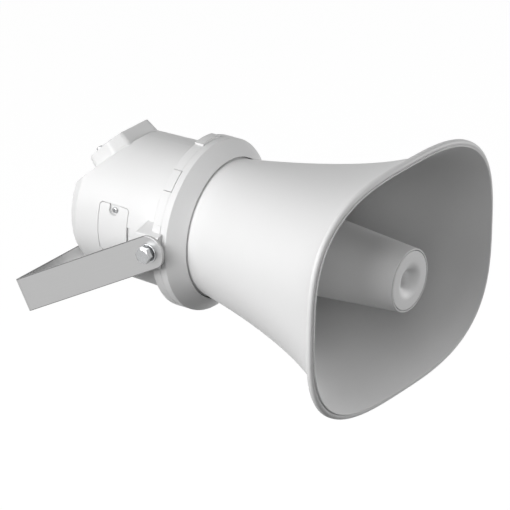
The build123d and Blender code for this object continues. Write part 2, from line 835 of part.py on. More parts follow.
# Phase plug: a slotted disc close over the dome, with a nose in the throat.
plug_floor = edge_front + plug_gap
with BuildPart() as phase_plug:
    with BuildSketch(side_plane):
        with BuildLine():
            Polyline(
                (plug_rear, clamp_ring_inner),
                (plug_rear, front_ring_bore - cap_fit / 2),
                (driver_gasket_rear, front_ring_bore - cap_fit / 2),
                (driver_gasket_rear, plug_slit_radius),
                (driver_gasket_rear + plug_nose, 0),
                (plug_floor + dome_height, 0),
            )
            ThreePointArc(
                (plug_floor + dome_height, 0),
                (plug_floor + dome_middle, coil_radius / 2),
                (plug_floor, coil_radius),
            )
            Polyline(
                (plug_floor, coil_radius),
                (plug_floor, clamp_ring_inner - cap_fit),
                (plug_rear, clamp_ring_inner - cap_fit),
                (plug_rear, clamp_ring_inner),
            )
        make_face()
    revolve(axis=horn_axis)
    with BuildSketch(station(plug_floor)):
        for angle in (0, 120, 240):
            Polygon(*sector(angle, plug_slit_span, plug_slit_centre, 2 * plug_slit_radius), align=None)
        Circle(plug_slit_radius + plug_slit, mode=Mode.INTERSECT)
        Circle(plug_slit_radius, mode=Mode.SUBTRACT)
    extrude(amount=plug_nose, mode=Mode.SUBTRACT)
finish(phase_plug, "phase_plug")

with BuildPart() as driver_screws:
    with BuildSketch(station(top_plate_rear - driver_screw_head)):
        with PolarLocations(driver_screw_circle, 4, start_angle=45):
            Circle(driver_screw_head_radius)
    extrude(amount=driver_screw_head)
    with BuildSketch(station(top_plate_rear)):
        with PolarLocations(driver_screw_circle, 4, start_angle=45):
            Circle(driver_screw_diameter / 2)
    extrude(amount=driver_seat - top_plate_rear + throat_flange_thickness)
finish(driver_screws, "driver_screws")

# Line transformer on the rear wall: a laminated core, a coil and a strap.
core_middle = cavity_rear + core_height / 2
window_length = core_height - 2 * core_leg
wall_plane = Plane(origin=(0, pivot_y, pivot_z - transformer_drop), x_dir=(1, 0, 0), z_dir=(0, 0, 1))
window_x = core_leg + core_window / 2
with BuildPart() as transformer_core:
    with BuildSketch(wall_plane):
        with Locations((0, -core_middle)):
            Rectangle(core_width, core_height)
        with Locations((-window_x, -core_middle), (window_x, -core_middle)):
            Rectangle(core_window, window_length, mode=Mode.SUBTRACT)
    extrude(amount=core_depth / 2, both=True)
finish(transformer_core, "transformer_core")

with BuildPart() as transformer_coil:
    with BuildSketch(station(core_middle - window_length / 2 + coil_gap)):
        with Locations((0, -transformer_drop)):
            RectangleRounded(
                2 * (core_leg + core_window - coil_gap),
                core_depth + 2 * (core_window - coil_gap),
                coil_corner,
            )
            Rectangle(2 * core_leg, core_depth, mode=Mode.SUBTRACT)
    extrude(amount=window_length - 2 * coil_gap)
finish(transformer_coil, "transformer_coil")

strap_outer_x = core_width / 2 + strap_thickness
with BuildPart() as transformer_strap:
    with BuildSketch(wall_plane):
        with Locations((0, -cavity_rear)):
            Rectangle(
                2 * strap_outer_x, core_height + strap_thickness, align=(Align.CENTER, Align.MAX)
            )
            Rectangle(core_width, core_height, align=(Align.CENTER, Align.MAX), mode=Mode.SUBTRACT)
            Rectangle(
                2 * (strap_outer_x + strap_foot), strap_thickness, align=(Align.CENTER, Align.MAX)
            )
            Rectangle(core_width, core_height, align=(Align.CENTER, Align.MAX), mode=Mode.SUBTRACT)
    extrude(amount=strap_width / 2, both=True)
    with BuildSketch(station(cavity_rear)):
        with Locations((-strap_hole_x, -transformer_drop), (strap_hole_x, -transformer_drop)):
            Circle(strap_screw_diameter / 2 + screw_hole_clearance)
    extrude(amount=strap_thickness, mode=Mode.SUBTRACT)
finish(transformer_strap, "transformer_strap")

with BuildPart() as transformer_screws:
    with BuildSketch(station(cavity_rear + strap_thickness)):
        with Locations((-strap_hole_x, -transformer_drop), (strap_hole_x, -transformer_drop)):
            Circle(small_head_radius)
    extrude(amount=small_head_height)
    with BuildSketch(station(cavity_rear + strap_thickness)):
        with Locations((-strap_hole_x, -transformer_drop), (strap_hole_x, -transformer_drop)):
            Circle(strap_screw_diameter / 2)
    extrude(amount=-strap_thickness - strap_screw_depth)
finish(transformer_screws, "transformer_screws")

# Connection board under the lid's opening, screwed to four posts of the housing.
board_holes = [(x, y) for x in (-board_post_x, board_post_x) for y in board_post_ys]
board_centre = sum(board_post_ys) / 2 + board_shift
with BuildPart() as connection_board:
    with BuildSketch(facet(board_top)):
        with Locations((0, board_centre)):
            Rectangle(board_width, board_length)
        with Locations(*board_holes):
            Circle(board_screw_diameter / 2 + screw_hole_clearance, mode=Mode.SUBTRACT)
    extrude(amount=-board_thickness)
finish(connection_board, "connection_board")

board_bottom = board_top - board_thickness
with BuildPart() as board_screws:
    with BuildSketch(facet(board_bottom)):
        with Locations(*board_holes):
            Circle(small_head_radius)
    extrude(amount=-small_head_height)
    with BuildSketch(facet(board_bottom)):
        with Locations(*board_holes):
            Circle(board_screw_diameter / 2)
    extrude(amount=board_thickness + board_post_height - 2 * screw_tip_room)
finish(board_screws, "board_screws")

terminal_pitch = terminal_width / terminal_count
terminal_xs = [(index - (terminal_count - 1) / 2) * terminal_pitch for index in range(terminal_count)]
terminal_top = board_top + terminal_height
wire_level = facet(board_top + terminal_wire_height)
wire_plane = Plane(origin=wire_level.origin, x_dir=(1, 0, 0), z_dir=wire_level.y_dir)
with BuildPart() as terminal_block:
    with BuildSketch(facet(board_top)):
        Rectangle(terminal_width, terminal_depth)
    extrude(amount=terminal_height)
    with BuildSketch(facet(terminal_top)):
        with Locations(*[(x, 0) for x in terminal_xs]):
            Circle(terminal_screw_radius)
    extrude(amount=-terminal_screw_length, mode=Mode.SUBTRACT)
    with BuildSketch(wire_plane):
        with Locations(*[(x, 0) for x in terminal_xs]):
            Circle(terminal_wire_radius)
    extrude(amount=terminal_depth / 2, both=True, mode=Mode.SUBTRACT)
finish(terminal_block, "terminal_block")

with BuildPart() as terminal_screws:
    with BuildSketch(facet(terminal_top - terminal_screw_length)):
        with Locations(*[(x, 0) for x in terminal_xs]):
            Circle(terminal_screw_radius)
    extrude(amount=terminal_screw_length - terminal_screw_sink)
    with BuildSketch(facet(terminal_top - terminal_screw_sink)):
        with Locations(*[(x, 0) for x in terminal_xs]):
            Rectangle(2 * terminal_screw_radius, terminal_slot)
    extrude(amount=-terminal_slot, mode=Mode.SUBTRACT)
finish(terminal_screws, "terminal_screws")

# Connection lid with drafted sides, a sealing rib and two screw posts.
lid_screw_points = [(-lid_screw_x, lid_screw_back), (lid_screw_x, lid_screw_back)]
with BuildPart() as connection_lid:
    with BuildSketch(facet(lid_base)):
        Rectangle(lid_width, lid_length)
        chamfer(vertices(), lid_corner_cut)
        fillet(vertices(), lid_corner_round)
    extrude(amount=lid_height, taper=lid_draft)
    fillet(connection_lid.faces().sort_by(Axis(facet(0).origin, facet(0).z_dir))[-1].edges(), lid_edge_round)
    with BuildSketch(facet(lid_base)):
        Rectangle(lid_width - 2 * lid_wall, lid_length - 2 * lid_wall)
        chamfer(vertices(), lid_corner_cut)
        fillet(vertices(), lid_corner_round - lid_wall / 2)
    extrude(amount=lid_height - lid_wall, taper=lid_draft, mode=Mode.SUBTRACT)
    with BuildSketch(facet(lid_base)):
        Rectangle(
            connection_opening_width + 4 * lid_gasket_width - 2 * rib_inset,
            connection_opening_length + 4 * lid_gasket_width - 2 * rib_inset,
        )
        Rectangle(
            connection_opening_width + 2 * lid_gasket_width + 2 * rib_inset,
            connection_opening_length + 2 * lid_gasket_width + 2 * rib_inset,
            mode=Mode.SUBTRACT,
        )
        with Locations(*lid_screw_points):
            Circle(lid_boss_radius)
    extrude(amount=lid_height - lid_wall)
    with BuildSketch(facet(lid_base)):
        with Locations(*lid_screw_points):
            Circle(lid_screw_diameter / 2 + screw_hole_clearance)
    extrude(amount=lid_height, mode=Mode.SUBTRACT)
finish(connection_lid, "connection_lid")

with BuildPart() as lid_gasket:
    with BuildSketch(facet(lid_base)):
        Rectangle(
            connection_opening_width + 4 * lid_gasket_width, connection_opening_length + 4 * lid_gasket_width
        )
        Rectangle(
            connection_opening_width + 2 * lid_gasket_width,
            connection_opening_length + 2 * lid_gasket_width,
            mode=Mode.SUBTRACT,
        )
    extrude(amount=-lid_gasket_thickness)
finish(lid_gasket, "lid_gasket")

with BuildPart() as lid_screws:
    with BuildSketch(facet(lid_top)):
        with Locations(*lid_screw_points):
            Circle(lid_screw_head_radius)
    extrude(amount=lid_screw_head)
    with BuildSketch(facet(lid_top)):
        with Locations(*lid_screw_points):
            Circle(lid_screw_diameter / 2)
    extrude(amount=-lid_screw_length)
    with BuildSketch(facet(lid_top + lid_screw_head)):
        with Locations(*lid_screw_points):
            Rectangle(cross_length, cross_width)
            Rectangle(cross_width, cross_length)
    extrude(amount=-cross_depth, mode=Mode.SUBTRACT)
finish(lid_screws, "lid_screws")

# Side cover: follows the round of the housing over a flat pocket.
hollow_bottom = -cover_height / 2 + cover_wall
with BuildPart() as side_cover:
    with BuildSketch(side_plane.offset(cover_seat)):
        with Locations((pocket_middle, 0)):
            RectangleRounded(pocket_length, cover_height, cover_corner)
    extrude(amount=housing_front_radius - cover_seat)
    with BuildSketch(side_plane):
        Polygon(
            (cover_rear, 0),
            (cover_rear, housing_radius(cover_rear)),
            (cover_front, housing_radius(cover_front)),
            (cover_front, 0),
            align=None,
        )
    revolve(axis=horn_axis, mode=Mode.INTERSECT)
    with BuildSketch(side_plane):
        Polygon(
            (cover_rear + cover_wall, cover_seat - cover_wall),
            (cover_rear + cover_wall, housing_radius(cover_rear) - cover_wall),
            (cover_front - cover_wall, housing_radius(cover_front) - cover_wall),
            (cover_front - cover_wall, cover_seat - cover_wall),
            align=None,
        )
    hollow = revolve(axis=horn_axis, mode=Mode.PRIVATE)
    with BuildSketch(side_plane.offset(cover_seat)):
        with Locations((pocket_middle, (cover_hollow_top + hollow_bottom) / 2)):
            Rectangle(pocket_length - 2 * cover_wall, cover_hollow_top - hollow_bottom)
    hollow_block = extrude(amount=housing_front_radius - cover_seat, mode=Mode.PRIVATE)
    add(hollow.intersect(hollow_block), mode=Mode.SUBTRACT)
    with BuildSketch(side_plane.offset(notch_floor)):
        with Locations((pocket_middle, notch_bottom)):
            RectangleRounded(notch_width, cover_height, notch_round, align=(Align.CENTER, Align.MIN))
    extrude(amount=housing_front_radius - notch_floor, mode=Mode.SUBTRACT)
    with BuildSketch(side_plane.offset(cover_seat)):
        with Locations((pocket_middle, cover_screw_height)):
            Circle(cover_screw_diameter / 2 + screw_hole_clearance)
    extrude(amount=notch_floor - cover_seat, mode=Mode.SUBTRACT)
finish(side_cover, "side_cover")

with BuildPart() as side_cover_gasket:
    with BuildSketch(side_plane.offset(pocket_floor)):
        with Locations((pocket_middle, 0)):
            RectangleRounded(pocket_length, cover_height, cover_corner)
            RectangleRounded(
                pocket_length - 2 * cover_gasket_width,
                cover_height - 2 * cover_gasket_width,
                cover_corner / 2,
                mode=Mode.SUBTRACT,
            )
    extrude(amount=cover_gasket_thickness)
finish(side_cover_gasket, "side_cover_gasket")

with BuildPart() as side_cover_screw:
    with BuildSketch(side_plane.offset(notch_floor)):
        with Locations((pocket_middle, cover_screw_height)):
            Circle(cover_screw_head_radius)
    extrude(amount=cover_screw_head)
    with BuildSketch(side_plane.offset(notch_floor)):
        with Locations((pocket_middle, cover_screw_height)):
            Circle(cover_screw_diameter / 2)
    extrude(amount=-cover_screw_length)
    with BuildSketch(side_plane.offset(notch_floor + cover_screw_head)):
        with Locations((pocket_middle, cover_screw_height)):
            Rectangle(cross_length, cross_width)
            Rectangle(cross_width, cross_length)
    extrude(amount=-cross_depth, mode=Mode.SUBTRACT)
finish(side_cover_screw, "side_cover_screw")

# Cable gland through the rear wall, below the transformer.
gland_axis = Axis((0, pivot_y, pivot_z - gland_drop), (0, -1, 0))
gland_side = Plane(origin=(0, pivot_y, pivot_z - gland_drop), x_dir=(0, -1, 0), z_dir=(-1, 0, 0))
gland_collar_rear = housing_rear - gland_collar_length
gland_stub_rear = gland_collar_rear - gland_stub_length
gland_cap_rear = gland_collar_rear - gland_cap_length
gland_shoulder_radius = gland_cap_radius - gland_cap_draft
gland_nut_front = cavity_rear + gland_nut_thickness
with BuildPart() as gland_body:
    with BuildSketch(station(housing_rear)):
        with Locations((0, -gland_drop)):
            RegularPolygon(gland_flats / 2, 6, major_radius=False)
    extrude(amount=-gland_collar_length)
    with BuildSketch(station(gland_stub_rear)):
        with Locations((0, -gland_drop)):
            Circle(gland_thread_radius)
    extrude(amount=gland_nut_front + gland_thread_end - gland_stub_rear)
    with BuildSketch(station(gland_stub_rear)):
        with Locations((0, -gland_drop)):
            Circle(gland_bore_radius)
    extrude(amount=gland_nut_front + gland_thread_end - gland_stub_rear, mode=Mode.SUBTRACT)
finish(gland_body, "gland_body")

with BuildPart() as gland_cap:
    with BuildSketch(gland_side):
        with BuildLine():
            Polyline(
                (gland_collar_rear, gland_thread_radius),
                (gland_collar_rear, gland_cap_radius),
                (gland_stub_rear, gland_shoulder_radius),
            )
            ThreePointArc(
                (gland_stub_rear, gland_shoulder_radius),
                (
                    gland_cap_rear + (gland_stub_rear - gland_cap_rear) * gland_dome_length,
                    gland_mouth_radius + (gland_shoulder_radius - gland_mouth_radius) * gland_dome_width,
                ),
                (gland_cap_rear, gland_mouth_radius + gland_lip),
            )
            Polyline(
                (gland_cap_rear, gland_mouth_radius + gland_lip),
                (gland_cap_rear, gland_mouth_radius),
                (gland_stub_rear, gland_mouth_radius),
                (gland_stub_rear, gland_thread_radius),
                (gland_collar_rear, gland_thread_radius),
            )
        make_face()
    revolve(axis=gland_axis)
finish(gland_cap, "gland_cap")

with BuildPart() as gland_seal:
    with BuildSketch(station(gland_stub_rear)):
        with Locations((0, -gland_drop)):
            Circle(gland_bore_radius)
            Circle(gland_seal_bore, mode=Mode.SUBTRACT)
    extrude(amount=gland_seal_length)
finish(gland_seal, "gland_seal")

with BuildPart() as gland_nut:
    with BuildSketch(station(cavity_rear)):
        with Locations((0, -gland_drop)):
            RegularPolygon(gland_flats / 2, 6, major_radius=False)
            Circle(gland_thread_radius, mode=Mode.SUBTRACT)
    extrude(amount=gland_nut_thickness)
finish(gland_nut, "gland_nut")

# Mounting bracket: one flat strip bent twice into a U.
slope = radians(bracket_slope)
arm_inner = boss_face + side_clearance
arm_outer = arm_inner + strip_thickness
bracket_plane = Plane(origin=(0, 0, 0), x_dir=(1, 0, 0), z_dir=(0, sin(slope), cos(slope)))
bracket_side = Plane(origin=(0, 0, 0), x_dir=(0, cos(slope), -sin(slope)), z_dir=(1, 0, 0))
base_plane = Plane(origin=(0, 0, 0), x_dir=(1, 0, 0), z_dir=(0, cos(slope), -sin(slope)))
with BuildPart() as mounting_bracket:
    with BuildSketch(bracket_plane):
        Rectangle(2 * arm_outer, arm_reach + strip_width / 2, align=(Align.CENTER, Align.MAX))
        fillet(vertices().group_by(Axis.Y)[-1], strip_bend + strip_thickness)
    extrude(amount=strip_width / 2, both=True)
    with BuildSketch(bracket_plane):
        with Locations((0, -strip_thickness)):
            Rectangle(2 * arm_inner, arm_reach + strip_width, align=(Align.CENTER, Align.MAX))
            fillet(vertices().group_by(Axis.Y)[-1], strip_bend)
    extrude(amount=strip_width / 2, both=True, mode=Mode.SUBTRACT)
    with BuildSketch(bracket_side):
        with Locations((-arm_reach, 0)):
            Circle(strip_width / 2)
        with Locations((-arm_reach / 2, 0)):
            Rectangle(arm_reach, strip_width)
    extrude(amount=arm_outer, both=True, mode=Mode.INTERSECT)
    with BuildSketch(pivot_face(0)):
        Circle(bolt_diameter / 2 + running_clearance)
    extrude(amount=arm_outer, both=True, mode=Mode.SUBTRACT)
    with BuildSketch(base_plane):
        Circle(base_hole_diameter / 2)
        with Locations((-side_hole_spacing / 2, 0), (side_hole_spacing / 2, 0)):
            Circle(side_hole_diameter / 2)
    extrude(amount=-strip_thickness, mode=Mode.SUBTRACT)
finish(mounting_bracket, "mounting_bracket")

# Pivot fastenings, made for the -X side and mirrored.
washer_face = arm_outer + washer_clearance
spring_face = washer_face + washer_thickness
head_face = spring_face + spring_washer_thickness
bolt_radius = bolt_diameter / 2
with BuildPart() as pivot_bolts:
    with BuildSketch(pivot_face(head_face)):
        RegularPolygon(bolt_head_flats / 2, 6, major_radius=False)
    extrude(amount=bolt_head_height)
    with BuildSketch(pivot_face(head_face)):
        Circle(bolt_head_flats / 2 + bolt_head_height * head_chamfer_rise)
    extrude(amount=bolt_head_height, taper=head_chamfer_slope, mode=Mode.INTERSECT)
    with BuildSketch(pivot_face(head_face)):
        Circle(bolt_radius)
    extrude(amount=-bolt_length)
    mirror(about=Plane.YZ)
finish(pivot_bolts, "pivot_bolts")

with BuildPart() as plain_washers:
    with BuildSketch(pivot_face(washer_face)):
        Circle(washer_diameter / 2)
        Circle(bolt_radius + washer_hole_clearance, mode=Mode.SUBTRACT)
    extrude(amount=washer_thickness)
    mirror(about=Plane.YZ)
finish(plain_washers, "plain_washers")

with BuildPart() as spring_washers:
    with BuildSketch(pivot_face(spring_face)):
        Circle(spring_washer_diameter / 2)
        Circle(bolt_radius + washer_hole_clearance, mode=Mode.SUBTRACT)
        with Locations((0, -spring_washer_diameter / 2)):
            Rectangle(spring_washer_split, spring_washer_diameter, mode=Mode.SUBTRACT)
    extrude(amount=spring_washer_thickness)
    mirror(about=Plane.YZ)
finish(spring_washers, "spring_washers")

with BuildPart() as pivot_inserts:
    with BuildSketch(pivot_face(boss_face)):
        Circle(insert_diameter / 2)
        Circle(bolt_radius, mode=Mode.SUBTRACT)
    extrude(amount=-insert_length)
    mirror(about=Plane.YZ)
finish(pivot_inserts, "pivot_inserts")
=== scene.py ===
import json
import math

import bmesh
import bpy
from mathutils import Matrix, Vector


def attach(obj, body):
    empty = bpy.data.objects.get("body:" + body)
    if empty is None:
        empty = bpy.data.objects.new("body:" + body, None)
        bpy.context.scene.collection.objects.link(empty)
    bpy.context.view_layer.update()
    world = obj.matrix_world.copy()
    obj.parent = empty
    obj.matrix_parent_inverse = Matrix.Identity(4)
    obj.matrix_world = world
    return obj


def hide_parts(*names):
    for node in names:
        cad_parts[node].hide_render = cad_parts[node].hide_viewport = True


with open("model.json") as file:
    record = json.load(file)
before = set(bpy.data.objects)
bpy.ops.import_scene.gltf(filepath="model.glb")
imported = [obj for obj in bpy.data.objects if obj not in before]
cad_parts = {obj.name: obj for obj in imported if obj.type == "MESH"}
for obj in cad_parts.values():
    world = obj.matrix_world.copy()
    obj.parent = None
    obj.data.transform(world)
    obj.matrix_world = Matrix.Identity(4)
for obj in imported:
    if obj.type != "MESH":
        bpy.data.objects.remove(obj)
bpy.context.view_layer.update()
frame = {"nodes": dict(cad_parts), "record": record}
mm = 0.001

# The bracket's base meets the wall at the origin. The horn tilts about an axis in front of it and above it.
stance = {
    "armReach": 158.0,  # tilt axis to the wall face of the bracket's base
    "bracketSlope": 29.5,
    "facetSlope": 45.0,  # the slanted face under the connection lid
    "facetSlide": -27.6,  # the lid's middle along that slope, where less is further down
}
armSlope = math.radians(stance["bracketSlope"])
pivotY = -stance["armReach"] * math.cos(armSlope)
pivotZ = stance["armReach"] * math.sin(armSlope)


def hornPoint(x, forward, up):
    # millimetres from the tilt axis, turned into the model's metres
    return Vector((x, pivotY - forward, pivotZ + up)) * mm


def facetPoint(x, down, distance):
    # a place over the slanted face: across it, down its slope, and square out from the tilt axis
    slope = math.radians(stance["facetSlope"])
    back = distance * math.sin(slope) + (down - stance["facetSlide"]) * math.cos(slope)
    up = distance * math.cos(slope) + (stance["facetSlide"] - down) * math.sin(slope)
    return hornPoint(x, -back, up)


def srgb(hexColour):
    channels = [int(hexColour[i:i + 2], 16) / 255 for i in (1, 3, 5)]
    linear = [c / 12.92 if c <= 0.04045 else ((c + 0.055) / 1.055) ** 2.4 for c in channels]
    return (*linear, 1.0)


def addNode(tree, kind, links=None, **settings):
    node = tree.nodes.new(kind)
    for name, value in settings.items():
        setattr(node, name, value)
    for socket, source in (links or {}).items():
        if isinstance(source, bpy.types.NodeSocket):
            tree.links.new(source, node.inputs[socket])
        else:
            node.inputs[socket].default_value = source
    return node


def newMaterial(name):
    material = bpy.data.materials.new(name)
    material.use_nodes = True
    tree = material.node_tree
    tree.nodes.clear()
    return material, tree


def newSkin(name):
    material, tree = newMaterial(name)
    shader = addNode(tree, "ShaderNodeBsdfPrincipled")
    addNode(tree, "ShaderNodeOutputMaterial", {"Surface": shader.outputs["BSDF"]})
    place = addNode(tree, "ShaderNodeTexCoord").outputs["Object"]
    return material, tree, shader, place


def tintAndGloss(tree, shader, look, tintPattern, glossPattern, patternSpread, roughnessSpread):
    # one pattern shifts the colour towards its shade, one spreads the roughness from shiny to dull
    tint = addNode(tree, "ShaderNodeMix", {
        "Factor": tintPattern, "A": srgb(look["colour"]), "B": srgb(look["shade"])}, data_type="RGBA")
    tree.links.new(tint.outputs["Result"], shader.inputs["Base Color"])
    gloss = addNode(tree, "ShaderNodeMapRange", {
        "Value": glossPattern, "From Min": patternSpread[0], "From Max": patternSpread[1],
        "To Min": roughnessSpread[0], "To Max": roughnessSpread[1]})
    tree.links.new(gloss.outputs["Result"], shader.inputs["Roughness"])
    return tint.outputs["Result"]


# the noise's usual range, and how much shinier and duller than its set roughness a finish gets with it
finishSwing = {
    "bevelSamples": 4,
    "moulded": {"noise": (0.3, 0.7), "shinier": -0.04, "duller": 0.06},
    "brushed": {"noise": (0.25, 0.75), "shinier": -0.05, "duller": 0.07},
    "bareMetal": {"noise": (0.3, 0.7), "shinierShare": 0.8, "dullerShare": 1.4},
}


def moulded(name, look):
    # a moulded surface: the mould's spark-eroded grain breaks up the sheen, and flow lines shift the tint;
    # real grain is about 0.1 mm, and it is drawn coarser than that so that it shows at all
    material, tree, shader, place = newSkin(name)
    swing = finishSwing["moulded"]
    shader.inputs["IOR"].default_value = look["ior"]
    shader.inputs["Specular IOR Level"].default_value = look["specular"]
    flow = addNode(tree, "ShaderNodeTexNoise", {
        "Vector": place, "Scale": 1000 / look["flowMm"], "Detail": 3.0})
    grain = addNode(tree, "ShaderNodeTexNoise", {
        "Vector": place, "Scale": 1000 / look["grainMm"], "Detail": 2.0})
    tintAndGloss(
        tree, shader, look, flow.outputs["Fac"], grain.outputs["Fac"], swing["noise"],
        (look["roughness"] + swing["shinier"], look["roughness"] + swing["duller"]))
    edge = addNode(tree, "ShaderNodeBevel", {
        "Radius": look["edgeMm"] * mm}, samples=finishSwing["bevelSamples"])
    relief = addNode(tree, "ShaderNodeBump", {
        "Height": grain.outputs["Fac"], "Strength": look["grainStrength"],
        "Distance": look["grainDepthMm"] * mm, "Normal": edge.outputs["Normal"]})
    tree.links.new(relief.outputs["Normal"], shader.inputs["Normal"])
    return material


def brushed(name, look):
    # rolled strip with fine lines along its length, on its base too, which stretch the reflections;
    # real lines are some hundredths of a millimetre apart, and are drawn coarser so that they show;
    # its sheared edges are coloured darker as painted shade, and draw a thin line round it
    material, tree, shader, place = newSkin(name)
    swing = finishSwing["brushed"]
    shader.inputs["Metallic"].default_value = 1.0
    length, width = look["lineLengthMm"] * mm, look["lineMm"] * mm
    turned = addNode(tree, "ShaderNodeMapping", {
        "Vector": place, "Rotation": (look["turn"], 0.0, 0.0), "Scale": (length, length, width)},
        vector_type="TEXTURE")
    lines = addNode(tree, "ShaderNodeTexNoise", {
        "Vector": turned.outputs["Vector"], "Scale": 1.0, "Detail": 3.0})
    tint = tintAndGloss(
        tree, shader, look, lines.outputs["Fac"], lines.outputs["Fac"], swing["noise"],
        (look["roughness"] + swing["shinier"], look["roughness"] + swing["duller"]))
    across = addNode(tree, "ShaderNodeSeparateXYZ", {0: turned.outputs["Vector"]})
    fromMiddle = addNode(tree, "ShaderNodeMath", {0: across.outputs["Z"]}, operation="ABSOLUTE")
    # painted shade: this mask darkens the strip's two sheared edges
    edge = addNode(tree, "ShaderNodeMapRange", {  # 0 on the faces, 1 on the two sheared edges
        "Value": fromMiddle.outputs[0],
        "From Min": (look["halfWidthMm"] - look["edgeMm"]) / look["lineMm"],
        "From Max": (look["halfWidthMm"] - look["edgeMm"] / 2) / look["lineMm"]})
    skin = addNode(tree, "ShaderNodeMix", {
        "Factor": edge.outputs["Result"], "A": tint, "B": srgb(look["paintedShadeEdgeColour"])}, data_type="RGBA")
    tree.links.new(skin.outputs["Result"], shader.inputs["Base Color"])  # in place of the plain tint
    relief = addNode(tree, "ShaderNodeBump", {
        "Height": lines.outputs["Fac"], "Strength": look["grainStrength"],
        "Distance": look["grainDepthMm"] * mm})
    tree.links.new(relief.outputs["Normal"], shader.inputs["Normal"])
    return material


def bareMetal(name, look):
    # plain or plated metal with faint handling marks that cloud its shine
    material, tree, shader, place = newSkin(name)
    swing = finishSwing["bareMetal"]
    shader.inputs["Metallic"].default_value = 1.0
    marks = addNode(tree, "ShaderNodeTexNoise", {
        "Vector": place, "Scale": 1000 / look["markMm"], "Detail": 4.0})
    tintAndGloss(
        tree, shader, look, marks.outputs["Fac"], marks.outputs["Fac"], swing["noise"],
        (look["roughness"] * swing["shinierShare"], look["roughness"] * swing["dullerShare"]))
    edge = addNode(tree, "ShaderNodeBevel", {
        "Radius": look["edgeMm"] * mm}, samples=finishSwing["bevelSamples"])
    tree.links.new(edge.outputs["Normal"], shader.inputs["Normal"])
    return material


outdoorAbs = {
    "colour": "#DEDEDE", "shade": "#DBDBDB", "roughness": 0.38, "ior": 1.53, "specular": 0.2,
    "flowMm": 60.0, "grainMm": 0.9, "grainStrength": 0.1, "grainDepthMm": 0.04, "edgeMm": 0.5,
}
# the reflector's cap, moulded apart from the rest, is the same plastic coloured a little whiter: painted
# light that brightens it
paintedLightCapFinish = moulded("capAbsWhitePaintedLight", {**outdoorAbs, "colour": "#F4F4F4", "shade": "#F1F1F1"})
